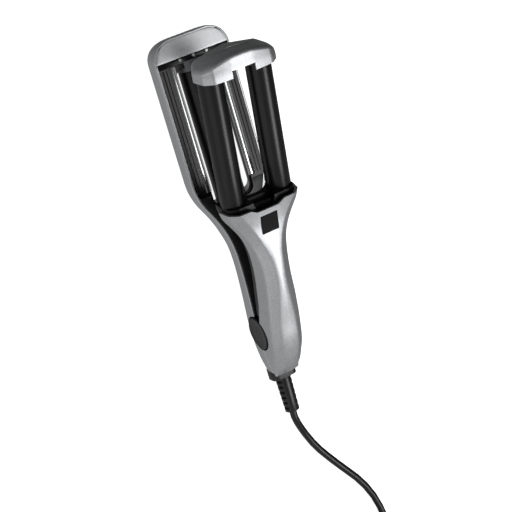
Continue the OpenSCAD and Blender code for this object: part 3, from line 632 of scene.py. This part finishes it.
def rear_inner(y):
    w, s, b, rise = rear_half(y), rear_side(y), curve(belly_keys, y), tip_rise(y + WALL)
    half = soft_corners([(0, rise + WALL), (s - 6.8, rise + WALL),
                         (s - WALL, b + rise * 0.7 + 0.8), (w - WALL, DECK_Z + 4),
                         (0, DECK_Z + 4)], [2, 2, 0.1], 3)
    return both_sides(half[:-1], y)


tip_steps = [TIP_Y - TIP_R + TIP_R * math.sin(math.radians(a)) for a in range(6, 90, 6)]
rear_shell = loft("rear_shell_moulding", [rear_outer(y) for y in
                  steps_between(TAIL_Y, TIP_Y - TIP_R, 62) + tip_steps + [TIP_Y]])
rear_hollow = loft("hollow", [rear_inner(y) for y in
                   steps_between(TAIL_Y + WALL, TIP_Y - TIP_R, 50)
                   + [y - 3.4 for y in tip_steps if y - 3.4 > TIP_Y - TIP_R]])
WINDOW_HALF = 19.8
WINDOW = (125.5, 250)
WINDOW_R = 7
WINDOW_FLARE = 6.5
SKIRT_DEPTH = 7
SKIRT_T = 1.6


def slot_outline(half, y0, y1, radius, z, steps=8):
    # Closed outline of a slot with round corners, in mm
    points = []
    for cx, cy, first in ((half - radius, y1 - radius, 0), (radius - half, y1 - radius, 90),
                          (radius - half, y0 + radius, 180), (half - radius, y0 + radius, 270)):
        for s in range(steps + 1):
            a = math.radians(first + 90 * s / steps)
            points.append(Vector((cx + radius * math.cos(a), cy + radius * math.sin(a), z)))
    return points


def window_funnel(name, grow, z0, z1):
    return loft(name, [slot_outline(WINDOW_HALF + grow + WINDOW_FLARE * (1 - t), WINDOW[0] - grow,
                                    WINDOW[1] + grow, WINDOW_R, z0 + (z1 - z0) * t)
                       for t in (0, 0.25, 0.5, 0.75, 1)])


NECK_R = 11
CENTRE_Z = 14


def neck_gap(y0, y1):
    # Room for the stub that carries the centre tube
    return add_round("neck_gap", NECK_R + 0.1, (0, y0, CENTRE_Z), (0, y1, CENTRE_Z), 64)


def disc_gaps(z):
    # Room for the two discs at the ends of the pivot, at height z
    return [add_round("disc_gap", DISC_GAP_R, (side * 13.5, 0, z), (side * 40, 0, z))
            for side in (-1, 1)]


funnel_top = DECK_Z - SKIRT_DEPTH
cut_away(rear_shell, rear_hollow)
join_to(rear_shell, window_funnel("funnel", SKIRT_T, WALL - 0.3, funnel_top))
cut_away(rear_shell, window_funnel("window", 0, -0.2, funnel_top + 0.2))
for y in (WINDOW[0] - 0.8, WINDOW[1] + 0.8):
    cut_away(rear_shell, neck_gap(y - 1.6, y + 1.6))
cut_away(rear_shell, *disc_gaps(HINGE_Z),
         add_round("collar_hole", 7.35, (0, -46, 10), (0, -37, 10), 48))
RIB_PITCH = 4.3
for i in range(-4, 6):
    x = (i - 0.5) * RIB_PITCH
    cut_away(rear_shell, add_block("rib_gap", (x - 1, TIP_Y - 0.8, 7), (x + 1, TIP_Y + 2, 20)))
REBATE = 1.25
REBATE_DEPTH = 1.6


def tip_ys(first, inset, margin):
    # Stations from first to the tip, for an outline drawn in by the inset
    return ([first] + [y - inset for y in tip_steps if y - inset > first + margin]
            + [TIP_Y - inset])


def inset_half(y, inset):
    return rear_half(min(y + inset, TIP_Y)) - inset


cut_away(rear_shell, plate("rebate", tip_ys(258.5, REBATE, 0.3), lambda y: inset_half(y, REBATE),
                           DECK_Z - REBATE_DEPTH, DECK_Z + 2))
smooth(rear_shell, 28)


# Silver metallic paint under a clear coat on ABS: aluminium flakes about 0.1 mm across, drawn
# 0.4 mm so that they show, and a faint orange peel 3 mm across
def silver_paint():
    material, shader, place = start_material("silver_metallic_paint", {
        "Metallic": 0.86, "Coat Weight": 0.25, "Coat Roughness": 0.2, "IOR": 1.5})
    flakes = add_node(material, "TexVoronoi", {"Scale": per(0.4)},
                      {"Vector": place}).outputs["Color"]
    tone = add_node(material, "SeparateColor", {}, {"Color": flakes}).outputs["Red"]
    peel = add_node(material, "TexNoise", {"Scale": per(3), "Detail": 1},
                    {"Vector": place}).outputs["Fac"]
    tint(material, shader, tone, 0.0, 1.0, "#B8BABC", "#DEE0E2")
    vary_roughness(material, shader, tone, 0.37, 0.46)
    raise_surface(material, shader, peel, 0.02, 0.25)
    return material


silver = silver_paint()
fit_piece(rear_shell, silver, "rear_arm", "silver_plastic", "rear_shell")

# ---- Rear tip panel ----
# A separate silver plate let into a rebate at the tip of the rear shell, slightly crowned.
PANEL_Y = 259.4
PANEL_INSET = REBATE + 0.22
PANEL_CROWN = 0.35


def face_outwards(piece, merge=0):
    pick(piece)
    bpy.ops.object.mode_set(mode="EDIT")
    bpy.ops.mesh.select_all(action="SELECT")
    if merge:
        bpy.ops.mesh.remove_doubles(threshold=merge * MM)
    bpy.ops.mesh.normals_make_consistent(inside=False)
    bpy.ops.object.mode_set(mode="OBJECT")


panel_rows = [[Vector((inset_half(y, PANEL_INSET) * u, y, DECK_Z + PANEL_CROWN * (1 - u * u)))
               for u in steps_between(-1, 1, 24)] for y in tip_ys(PANEL_Y, PANEL_INSET, 0.5)]
panel = loft("tip_panel_plate", panel_rows, closed=False)
use_modifier(panel, "SOLIDIFY", thickness=1.5 * MM, offset=-1)
face_outwards(panel)
round_edges(panel, 0.3, 3, 50)
smooth(panel, 40)
fit_piece(panel, silver, "rear_arm", "panel_plastic", "rear_tip_panel")

# ---- Liner of the rear jaw ----
# A glossy black heat-proof moulding: a deck with two pockets for the strips, two fine ribs
# along each side, and a skirt that lines the window.
LINER_INSET = 2.15
STRIP_X = 22.3
STRIP_HALF = 2.7
STRIP_Y = (140, 253.5)
POCKET_GAP = 0.15
# Each rib's place, half width and height
liner_ribs = ((28, 0.3, 0.5), (31.2, 0.4, 0.6))


def window_slot(grow, radius, z):
    return slot_outline(WINDOW_HALF + grow, WINDOW[0] - grow, WINDOW[1] + grow, radius, z)


liner = plate("liner_deck", [137] + steps_between(140, 254.2, 24),
              lambda y: rear_half(y) - LINER_INSET, DECK_Z - 3, DECK_Z)
join_to(liner, loft("skirt", [window_slot(SKIRT_T, WINDOW_R, z) for z in (DECK_Z - 6.9, DECK_Z)]))
cut_away(liner, loft("opening", [window_slot(lip, WINDOW_R + lip, z) for lip, z in (
    (0, 10), (0, DECK_Z - 1.1), (0.25, DECK_Z - 0.45), (0.9, DECK_Z + 0.02), (1.2, DECK_Z + 2))]),
    neck_gap(122, 128), neck_gap(248, 253))
for side in (-1, 1):
    x = side * STRIP_X
    reach = STRIP_HALF + POCKET_GAP
    cut_away(liner, add_block("pocket", (x - reach, STRIP_Y[0] - POCKET_GAP, 20),
                              (x + reach, STRIP_Y[1] + POCKET_GAP, 30)))
    for x, width, height in liner_ribs:
        rib = add_block("rib", (side * x - width, 141, 22),
                        (side * x + width, 253, DECK_Z + height))
        round_edges(rib, 0.22, 2, 60)
        join_to(liner, rib)
smooth(liner)
gloss_abs = moulded_black("glossy_black_moulding", "#0B0B0C", "#121213", 0.2, 0.35)
fit_piece(liner, gloss_abs, "rear_arm", "black_plastic", "rear_liner")

# ---- Heated strips ----
# Two extruded aluminium strips with a hollow ground face that faces a front barrel.
STRIP_BASE = 20.02
STRIP_TOP = 22.7
STRIP_DISH = 0.8
# Ground along its length and polished: fine lines every 0.15 mm, drawn 0.4 mm apart
aluminium = bare_metal("ground_aluminium", (per(0.4), 30, per(0.4)), 2, ("#E0E1E2", "#E8E9EA"),
                       (0.2, 0.24))
strip_half = soft_corners([(0, STRIP_BASE), (STRIP_HALF, STRIP_BASE), (STRIP_HALF, STRIP_TOP)],
                          [0.2], 2)
strip_half += [Vector((STRIP_HALF * u, STRIP_TOP - STRIP_DISH * (1 - u * u)))
               for u in (0.92, 0.75, 0.6, 0.45, 0.3, 0.1)]
for name, side in (("left", -1), ("right", 1)):
    strip = loft("heated_strip_bar_" + name, [
        [p + Vector((side * STRIP_X, 0, 0)) for p in both_sides(strip_half, y)]
        for y in steps_between(*STRIP_Y, 4)])
    round_edges(strip, 0.12, 2, 45)
    smooth(strip, 30)
    fit_piece(strip, aluminium, "rear_arm", "strip_aluminium", "heated_strip_" + name)


# ---- Barrels ----
# Drawn aluminium tubes with a fired black ceramic coat: one 27 mm tube on the rear arm and
# two 22 mm tubes on the front arm.
def ceramic_coat():
    # Fired glossy coat, a little wavy along the tube
    material, shader, place = start_material("black_ceramic_coat", {
        "IOR": 1.5, "Specular IOR Level": 0.4, "Coat Weight": 0.08, "Coat Roughness": 0.1})
    waves = add_node(material, "Mapping", {"Scale": (90, 18, 90)}, {"Vector": place})
    drawn = add_node(material, "TexNoise", {"Scale": 1, "Detail": 2},
                     {"Vector": waves.outputs["Vector"]}).outputs["Fac"]
    speck = add_node(material, "TexNoise", {"Scale": per(0.4), "Detail": 2},
                     {"Vector": place}).outputs["Fac"]
    tint(material, shader, drawn, 0.3, 0.7, "#0A0A0B", "#101011")
    vary_roughness(material, shader, drawn, 0.24, 0.32)
    raise_surface(material, shader, speck, 0.01, 0.2)
    return material


coated = ceramic_coat()


def add_tube(name, radius, bore, start, end):
    start, end = Vector(start), Vector(end)
    tube = add_round(name, radius, start, end)
    cut_away(tube, add_round("bore", bore, start * 1.5 - end * 0.5, end * 1.5 - start * 0.5))
    round_edges(tube, 0.35, 3, 50)
    smooth(tube)
    return tube


TUBE_R = 13.5
TUBE_BORE = 12.1
RING_R = TUBE_R + 0.3
centre_tube = add_tube("centre_tube", TUBE_R, TUBE_BORE, (0, 125.8, CENTRE_Z), (0, 245.6, CENTRE_Z))
fit_piece(centre_tube, coated, "rear_arm", "coated_barrel", "centre_barrel")
# The ring that ends the tube runs on over the deck as an arch
end_ring = add_tube("tube_end_ring", RING_R, TUBE_BORE, (0, 245.7, CENTRE_Z), (0, 249.7, CENTRE_Z))
arch = add_round("arch", RING_R + 0.15, (0, 248.6, CENTRE_Z), (0, 255.4, CENTRE_Z))
cut_away(arch, add_block("under", (-30, 240, -10), (30, 270, DECK_Z + 0.1)))
round_edges(arch, 1.3, 5, 40)
join_to(end_ring, arch)
smooth(end_ring)
fit_piece(end_ring, moulded_black("grey_heat_resin", "#5E5F62", "#6C6D70", 0.24),
          "rear_arm", "grey_resin", "barrel_end_ring")

# Everything on the front arm is modelled closed, level with the hinge, and then opened
OPEN_ANGLE = math.radians(13)
OPENED = Matrix.Translation((0, 0, HINGE_Z * MM)) @ Matrix.Rotation(OPEN_ANGLE, 4, "X")
BARREL_X = 23
BARREL_F = 12.5
BARREL_R = 11


def open_arm(piece):
    piece.data.transform(OPENED)
    return piece


def barrel_gaps(y0, y1):
    # Room for the two front tubes, with a gap of 0.1 mm
    return [add_round("tube_gap", BARREL_R + 0.1, (x, y0, BARREL_F), (x, y1, BARREL_F))
            for x in (-BARREL_X, BARREL_X)]


for name, side in (("left", -1), ("right", 1)):
    tube = open_arm(add_tube("front_tube_" + name, BARREL_R, 9.6,
                             (side * BARREL_X, 136.6, BARREL_F),
                             (side * BARREL_X, 264, BARREL_F)))
    fit_piece(tube, coated, "front_arm", "coated_barrel", "front_barrel_" + name)

# ---- Tube holders and deck covers of the rear arm ----
# Black mouldings that close the rear shell: a saddle at the cord end of the centre tube, a
# block under the tip panel, and the flat cover of the handle.
SADDLE_R = 15
SADDLE_Y = (113.5, 123.8)
BAND_Y = (254.3, 259.2)
BLOCK_END = 260.6
saddle_half = [(0, WALL), (SADDLE_R, WALL)]
for a in steps_between(0, math.pi / 2, 24):
    saddle_half.append((SADDLE_R * math.cos(a), CENTRE_Z + SADDLE_R * math.sin(a)))
base_holder = loft("tube_saddle", [both_sides(saddle_half, y) for y in SADDLE_Y])
round_edges(base_holder, 0.9, 4, 40)
join_to(base_holder, add_round("neck", NECK_R, (0, 123, CENTRE_Z), (0, 126, CENTRE_Z)))
smooth(base_holder)
fit_piece(base_holder, gloss_abs, "rear_arm", "black_plastic", "base_holder")

tip_block = plate("tip_band", steps_between(*BAND_Y, 4), lambda y: rear_half(y) - LINER_INSET,
                  19.3, DECK_Z)
round_edges(tip_block, 0.25, 2, 50)
join_to(tip_block,
        add_block("body", (-22, 251.7, WALL), (22, BLOCK_END, 19.35)),
        add_block("rest", (-22, 255.3, WALL), (22, BLOCK_END, 20.8)),
        add_round("neck", NECK_R, (0, 249.6, CENTRE_Z), (0, 252.6, CENTRE_Z)))
smooth(tip_block)
fit_piece(tip_block, gloss_abs, "rear_arm", "black_plastic", "tip_holder")

# Bright zinc-plated steel, cold headed: neutral, with soft blotches 1.2 mm across
steel = bare_metal("zinc_plated_steel", (per(1.2),) * 3, 3, ("#B9BABB", "#D8D9DA"), (0.22, 0.36))


def add_screw(radius, place, reach):
    # Pan head with a cross recess and a plain shank, standing up along +Z
    up = Vector((0, 0, 1))
    head = add_round("screw", radius * 1.9, place, place + up * radius * 1.1, 40)
    round_edges(head, radius * 0.5, 4, 60)
    for turn in (0, math.pi / 2):
        bit = add_block("bit", (-radius * 1.2, -radius * 0.2, radius * 0.5),
                        (radius * 1.2, radius * 0.2, radius * 3))
        bit.data.transform(Matrix.Translation(place * MM) @ Matrix.Rotation(turn, 4, "Z"))
        cut_away(head, bit)
    join_to(head, add_round("shank", radius, place - up * reach, place + up * radius * 0.4, 32))
    return head


band_screws = join_pieces("band_screws", [
    add_screw(0.8, Vector((x, 257.5, DECK_Z + 0.01)), 6) for x in (-13, 0, 13)], 35)
fit_piece(band_screws, steel, "rear_arm", "steel", "holder_screws")

rear_cover = plate("handle_cover", steps_between(18.5, 136.7, 40),
                   lambda y: rear_half(y) - 2.35, 20.4, DECK_Z)
round_edges(rear_cover, 0.2, 2, 50)
cut_away(rear_cover,
         loft("window_gap", [slot_outline(21.5, 123.8, 250, WINDOW_R, z) for z in (15, 30)]),
         add_block("saddle_gap", (-SADDLE_R - 0.1, 113.4, 10), (SADDLE_R + 0.1, 133, 30)))
for y in (40, 100):
    # A well and a boss below it, and then the screw's hole through both
    for radius, low, high in ((4, 17.9, 21.5), (3, 14.1, 18.5)):
        post = add_round("post", radius, (0, y, low), (0, y, high))
        round_edges(post, 0.35, 3, 50)
        join_to(rear_cover, post)
    cut_away(rear_cover, add_round("counterbore", 2.8, (0, y, 18.5), (0, y, 30), 40),
             add_round("screw_hole", 1.4, (0, y, 10), (0, y, 30), 40))
smooth(rear_cover)
fit_piece(rear_cover, satin_abs, "rear_arm", "matt_black_plastic", "rear_cover")


# ---- Power button and hinge cap ----
# Two dished black ABS discs at the ends of the pivot, turned in rings. The left one is the
# button.
def turned_disc():
    # Satin black with turned rings 3.5 mm apart, centred on the pivot
    material, shader, place = start_material("turned_black_abs", {
        "Specular IOR Level": 0.35, "Coat Weight": 0.1, "Coat Roughness": 0.15})
    centred = add_node(material, "Mapping", {
        "Location": (0, 0, -HINGE_Z * MM), "Scale": (0, 1, 1)}, {"Vector": place})
    rings = add_node(material, "TexWave", {
        "wave_type": "RINGS", "rings_direction": "SPHERICAL", "Scale": per(3.5),
        "Distortion": 0.4, "Detail": 2}, {"Vector": centred.outputs["Vector"]}).outputs["Fac"]
    tint(material, shader, rings, 0.2, 0.8, "#161617", "#1D1D1F")
    vary_roughness(material, shader, rings, 0.26, 0.36)
    raise_surface(material, shader, rings, 0.02, 0.3)
    return material


disc_finish = turned_disc()
DISC_X = 14.9
STEM_R = 4.95


def add_disc(name, side, stem):
    # Spun from its half section: a chamfered rim round a shallow dish, and a stem
    profile = soft_corners([(0, 1.75), (9, 1.8), (12.6, 2.1), (13.9, 2.4), (14.6, 2.4),
                            (15.5, 1.7), (15.5, 0), (STEM_R, 0)], [2, 1, 0.4, 0.3, 0.5, 0.3], 3)
    profile += [Vector((STEM_R, -stem)), Vector((0, -stem))]
    rows = []
    for a in range(96):
        turn = math.radians(a * 360 / 96)
        rows.append([Vector((side * (DISC_X + p.y), p.x * math.cos(turn),
                             HINGE_Z + p.x * math.sin(turn))) for p in profile])
    rows.append(rows[0])
    disc = loft(name, rows, closed=False)
    face_outwards(disc, merge=0.001)
    smooth(disc, 30)
    return disc


button = add_disc("power_button_disc", -1, 8.6)
fit_piece(button, disc_finish, "power_button", "button_plastic", "power_button")
cap_disc = add_disc("hinge_cap_disc", 1, 7.9)
fit_piece(cap_disc, disc_finish, "rear_arm", "button_plastic", "pivot_cap")

# ---- Front shell ----
# The upper half of the handle: a thin silver shell with six soft facets that flares into the
# head. Its rim follows the rear shell behind the pivot.
HEAD_Y = 138
edge_width_keys = [(-44, 12.2), (-30, 14.6), (-10, 16.6), (15, 16.8), (40, 15.6), (65, 14.4),
                   (85, 15.5), (100, 18.8), (110, 23), (120, 28.7), (130, 34.7), (138, 37)]
shoulder_keys = [(-44, 12), (-30, 17.4), (-20, 19.8), (-10, 22.4), (10, 24.4), (40, 27),
                 (60, 27.3), (85, 25.4), (100, 22.6), (112, 21.9), (125, 22.8), (138, 24.3)]
top_keys = [(-44, 16.5), (-38, 20), (-30, 23), (-20, 26), (0, 29.4), (20, 30.6), (40, 32.2),
            (60, 33), (80, 32.6), (92, 30.4), (105, 28.2), (118, 27.8), (130, 29.4), (138, 31)]
flat_keys = [(-44, 4.8), (-30, 6.4), (-10, 8.5), (20, 8.3), (40, 6.3), (60, 4.7), (80, 5.2),
             (92, 7), (105, 11), (120, 17.4), (130, 23), (138, 28)]
CROWN = 0.8


def front_edge(y):
    if y < 0:
        return max(0.5 / math.cos(OPEN_ANGLE) + 0.4 - y * math.tan(OPEN_ANGLE), 3)
    return min(5 + 0.16 * y, 10.5)


def arch_ring(y, inset=0, slant=0, drop=0):
    fs, ft = curve(shoulder_keys, y), curve(top_keys, y)
    w, wt = curve(edge_width_keys, y) - inset, curve(flat_keys, y) - inset * 0.4
    fe = min(front_edge(y), fs - 1)
    ws = w - (1 if y < 105 else 1 + (y - 105) / 33)
    half = soft_corners([(w, fe - drop), (w + 0.2, fe + 1.2), (ws, fs - inset * 0.5),
                         (wt, ft - inset), (wt * 0.5, ft + CROWN * 0.75 - inset),
                         (0, ft + CROWN - inset)], [0.6, 2.2, 1.6, 2], 5)
    return [Vector((x, y + slant * (f - fe), f)) for x, f in
            [tuple(p) for p in half] + [(-p.x, p.y) for p in reversed(half[:-1])]]


# Stations of the tail and how far each ring leans back there
tail_slants = [(-44, 0.6), (-42.6, 0.5), (-40.5, 0.32), (-37.5, 0.16), (-34, 0.06)]
tail_rim = arch_ring(-44, 0, 0.6)
tail_mid = sum(tail_rim, Vector()) / len(tail_rim)
front_shell = loft("front_shell_moulding",
                   [[tail_mid + (p - tail_mid) * 0.95 - Vector((0, 0.25, 0)) for p in tail_rim]]
                   + [arch_ring(y, 0, slant) for y, slant in tail_slants]
                   + [arch_ring(y) for y in steps_between(-31, HEAD_Y, 58)])
cut_away(front_shell, loft("hollow", [arch_ring(y + 2, WALL, slant, 9) for y, slant in tail_slants]
                           + [arch_ring(y, WALL, 0, 9) for y in
                              steps_between(-29, HEAD_Y + 9, 54)]), *disc_gaps(0))
DIP_Y = (134.3, 146)
DIP_SPREAD = 2.9
dip = add_block("dip", (-10.5, DIP_Y[0], 20), (10.5, DIP_Y[1], 45))
for v in dip.data.vertices:
    if v.co.y > 140 * MM:
        v.co.x *= DIP_SPREAD
cut_away(front_shell, dip)
BADGE_HALF = 8.25
BADGE_LEN = 18
BADGE_Y = 111
badge_rise = curve(top_keys, BADGE_Y + BADGE_LEN) - curve(top_keys, BADGE_Y)
BADGE_PLANE = (Matrix.Translation(Vector((0, BADGE_Y, curve(top_keys, BADGE_Y) + CROWN)) * MM)
               @ Matrix.Rotation(math.atan(badge_rise / BADGE_LEN), 4, "X"))
pocket = add_block("pocket", (-BADGE_HALF - 0.1, -0.1, -0.9), (BADGE_HALF + 0.1, 18.1, 4))
pocket.data.transform(BADGE_PLANE)
cut_away(front_shell, pocket)
smooth(front_shell, 32)
fit_piece(open_arm(front_shell), silver, "front_arm", "silver_plastic", "front_shell")

# ---- Badge plate ----
# A bare square of satin black acrylic with bevelled edges, let into the head.
badge = add_block("badge_plate", (-BADGE_HALF, 0, -0.85), (BADGE_HALF, BADGE_LEN, 0.25))
bevel_along(badge, 2, 1.2, 5)
choose_faces(badge, lambda normal: normal.z > 0.9)
bpy.ops.mesh.inset(thickness=0.9 * MM)
bpy.ops.transform.translate(value=(0, 0, -0.12 * MM))
bpy.ops.object.mode_set(mode="OBJECT")
badge.data.transform(BADGE_PLANE)
round_edges(badge, 0.15, 2, 30)
smooth(badge, 30)
fit_piece(open_arm(badge), moulded_black("satin_black_acrylic", "#0B0B0C", "#111112", 0.5, 0.15),
          "front_arm", "black_plastic", "front_badge")

# ---- Front cover ----
# A black ABS tray that closes the underside of the front shell, with two countersunk screws.
front_cover = plate("front_tray", steps_between(19.5, 128, 36),
                    lambda y: curve(edge_width_keys, y) - 2.25, 1.2, 11.5)
centre_room = (18.5, -8)


def tube_room(y0):
    # Room for the centre tube of the rear arm when the jaws are closed
    radius, z = centre_room
    return add_round("tube_room", radius, (0, y0, z), (0, 200, z))


cut_away(front_cover, plate("tray_hollow", steps_between(18, 129, 36),
                            lambda y: curve(edge_width_keys, y) - 4, 3.2, 20), tube_room(110.5))
for y in (55, 95):
    cut_away(front_cover, add_round("screw_well", 2.7, (0, y, 0), (0, y, 2.3), 40),
             add_round("screw_hole", 1.4, (0, y, 0), (0, y, 6), 32))
round_edges(front_cover, 0.3, 2, 50)
smooth(front_cover)
fit_piece(open_arm(front_cover), satin_abs, "front_arm", "matt_black_plastic", "front_cover")


# ---- Front collar ----
# A black heat-proof moulding in the mouth of the head. It carries the two tubes and has a low
# shelf with two fine ridges between them.
def collar_ring(y):
    w, fs, wt = curve(edge_width_keys, y), curve(shoulder_keys, y), curve(flat_keys, y)
    half = soft_corners([(0, 1.2), (w - 2.6, 1.2), (w - 2.2, 9), (w - 4.4, fs - 2.2),
                         (wt - 2, 26), (0, 26.3)], [1.5, 2, 2, 3])
    return both_sides(half[:-1], y)


COLLAR_END = 142
END_SHRINK = 0.985
front_collar = loft("head_collar", [collar_ring(y) for y in (128.1, 131, 134, 136, 138, 140, 141.6)]
                    + [[Vector((p.x * END_SHRINK, p.y, p.z * END_SHRINK))
                        for p in collar_ring(COLLAR_END)]])
cut_away(front_collar, *barrel_gaps(136.5, 145),
         add_block("shelf", (-9.5, 133.8, 22), (9.5, 150, 40)),
         add_block("step", (-10.5, 138, 16), (10.5, 150, 30)), tube_room(100))
for y in (134.6, 136.5):
    join_to(front_collar, add_block("ridge", (-8, y, 21.8), (8, y + 0.7, 22.8)))
smooth(front_collar)
fit_piece(open_arm(front_collar),
          moulded_black("black_heatproof_moulding", "#0A0A0B", "#101011", 0.3, 0.2),
          "front_arm", "black_plastic", "front_collar")

# ---- End cap of the front barrels ----
# A silver painted ABS cap with soft facets and a notch in its near edge, closed inside by a
# black heat-proof plug with two screws.
CAP_Y = 258
cap_half = [(0, 1.6), (32, 1.6), (37, 10.6), (37, 12.5), (35, 24), (28, 30.2), (10, 31.8), (0, 32)]
CAP_MID = 15
CAP_EDGE = 3.2
CAP_BOW = 6.6
CAP_FACET_R = 1.4
NOTCH_HALF = 11
NOTCH_DEPTH = 6.5


def bow(x):
    # How far the bowed end falls back at x from the middle
    return CAP_BOW * (abs(x) / 31) ** 2.3


def cap_ring(y, grow):
    over = max(y - (TIP_Y - CAP_EDGE), 0) / CAP_EDGE
    draw = CAP_EDGE * 0.8 * (1 - math.sqrt(max(1 - over * over, 0)))
    taper = 1.6 * soft_step(CAP_Y + 2, TIP_Y, y)
    corners = []
    for x, f in cap_half:
        lift = -grow if f < CAP_MID else grow + draw + taper
        corners.append((x - grow - draw if x else 0, f - lift))
    half = soft_corners(corners, [CAP_FACET_R] * 4 + [CAP_FACET_R * 1.5, CAP_FACET_R])
    bowed = soft_step(CAP_Y + 3, TIP_Y, y)
    ring = [p - Vector((0, bowed * bow(p.x), 0)) for p in both_sides(half, y)]
    # The points on the centre line are doubled; one of each pair is dropped
    return ring[:len(half)] + ring[len(half) + 1:-1]


def notch(half, y1):
    return add_block("notch", (-half, 250, -5), (half, y1, 60))


cap_ys = [CAP_Y, CAP_Y + 0.4, 260, 262, 264, 266, 268, 270, 272, 273.8, 274.4, 275, 275.6, 276.1,
          276.5, 276.8, TIP_Y]
cap_rings = [cap_ring(y, 0) for y in cap_ys]
end_rim = cap_rings[-1]
for shrink in (0.9, 0.7, 0.45, 0.2):
    # The end wall, drawn together towards the middle of its height
    narrow = 0.4 + 0.6 * shrink
    cap_rings.append([Vector((p.x * narrow, TIP_Y - bow(p.x * narrow),
                              CAP_MID + (p.z - CAP_MID) * shrink)) for p in end_rim])
front_cap = loft("end_cap_moulding", cap_rings)
cut_away(front_cap,
         loft("hollow", [cap_ring(y, WALL) for y in [CAP_Y - 1] + cap_ys[1:10] + [274.6]]),
         notch(NOTCH_HALF, CAP_Y + NOTCH_DEPTH), *barrel_gaps(257, 264.2))
round_edges(front_cap, 0.3, 2, 60)
smooth(front_cap, 32)
fit_piece(open_arm(front_cap), silver, "front_arm", "silver_plastic", "front_cap")

cap_plug = loft("cap_plug_moulding", [cap_ring(y, WALL + 0.12) for y in
                                      (258.6, 260, 262, 264, 266, 268, 268.9)])
cut_away(cap_plug, notch(NOTCH_HALF + 0.3, 264.9), *barrel_gaps(250, 264.1))
smooth(cap_plug, 32)
fit_piece(open_arm(cap_plug), gloss_abs, "front_arm", "black_plastic", "cap_plug")


# ---- Inner parts carried over from the frame ----
# Heaters, board, spring, switch and chassis keep their solids and get their own finishes.
def finish_nodes(material, *names):
    for name in names:
        dress(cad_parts[name], material)


def fired_ceramic():
    # Unglazed alumina: cream, matt, slightly mottled 2 mm across
    material, shader, place = start_material("fired_alumina", {"IOR": 1.6})
    mottle = add_node(material, "TexNoise", {"Scale": per(2), "Detail": 4},
                      {"Vector": place}).outputs["Fac"]
    tint(material, shader, mottle, 0.3, 0.7, "#DDD2B6", "#EFE6CE")
    vary_roughness(material, shader, mottle, 0.55, 0.7)
    return material


def sintered_bronze():
    # Porous bearing bronze: pores about 0.2 mm across, drawn 0.4 mm so that they show
    material, shader, place = start_material("sintered_bronze", {"Metallic": 1})
    pores = add_node(material, "TexVoronoi", {"Scale": per(0.4)},
                     {"Vector": place}).outputs["Distance"]
    tint(material, shader, pores, 0.1, 0.6, "#8A6A3C", "#B08E58")
    vary_roughness(material, shader, pores, 0.35, 0.5)
    return material


def fibreglass_board():
    # Epoxy glass laminate under green resist, with a faint woven pattern
    material, shader, place = start_material("epoxy_glass_board", {"IOR": 1.5})
    weave = add_node(material, "TexBrick", {
        "Color1": linear("#245A34"), "Color2": linear("#2B683D"), "Mortar": linear("#1D4B2B"),
        "Scale": per(4), "Mortar Size": 0.012}, {"Vector": place})
    material.node_tree.links.new(weave.outputs["Color"], shader.inputs["Base Color"])
    vary_roughness(material, shader, weave.outputs["Fac"], 0.3, 0.4)
    return material


# Mill finish aluminium: dull, with long die lines 1 mm apart
mill_aluminium = bare_metal("mill_finish_aluminium", (1000, 25, 1000), 2, ("#9C9D9E", "#B4B5B6"),
                            (0.38, 0.5))
# Hard drawn steel wire with a light oil film
spring_wire = bare_metal("drawn_spring_wire", (per(1.5),) * 3, 3, ("#7A7B7C", "#939495"),
                         (0.25, 0.4))
finish_nodes(mill_aluminium, "centre_heater", "front_heater_left", "front_heater_right")
finish_nodes(fired_ceramic(), "strip_heater_left", "strip_heater_right")
finish_nodes(sintered_bronze(), "pivot_bushes")
finish_nodes(fibreglass_board(), "circuit_board")
finish_nodes(spring_wire, "return_spring", "pivot_tube", "thermal_fuse")
finish_nodes(steel, "rear_cover_screws", "front_cover_screws", "cap_screws")
finish_nodes(satin_abs, "hinge_block", "front_chassis", "power_switch", "cord_clamp")

start_fresh()
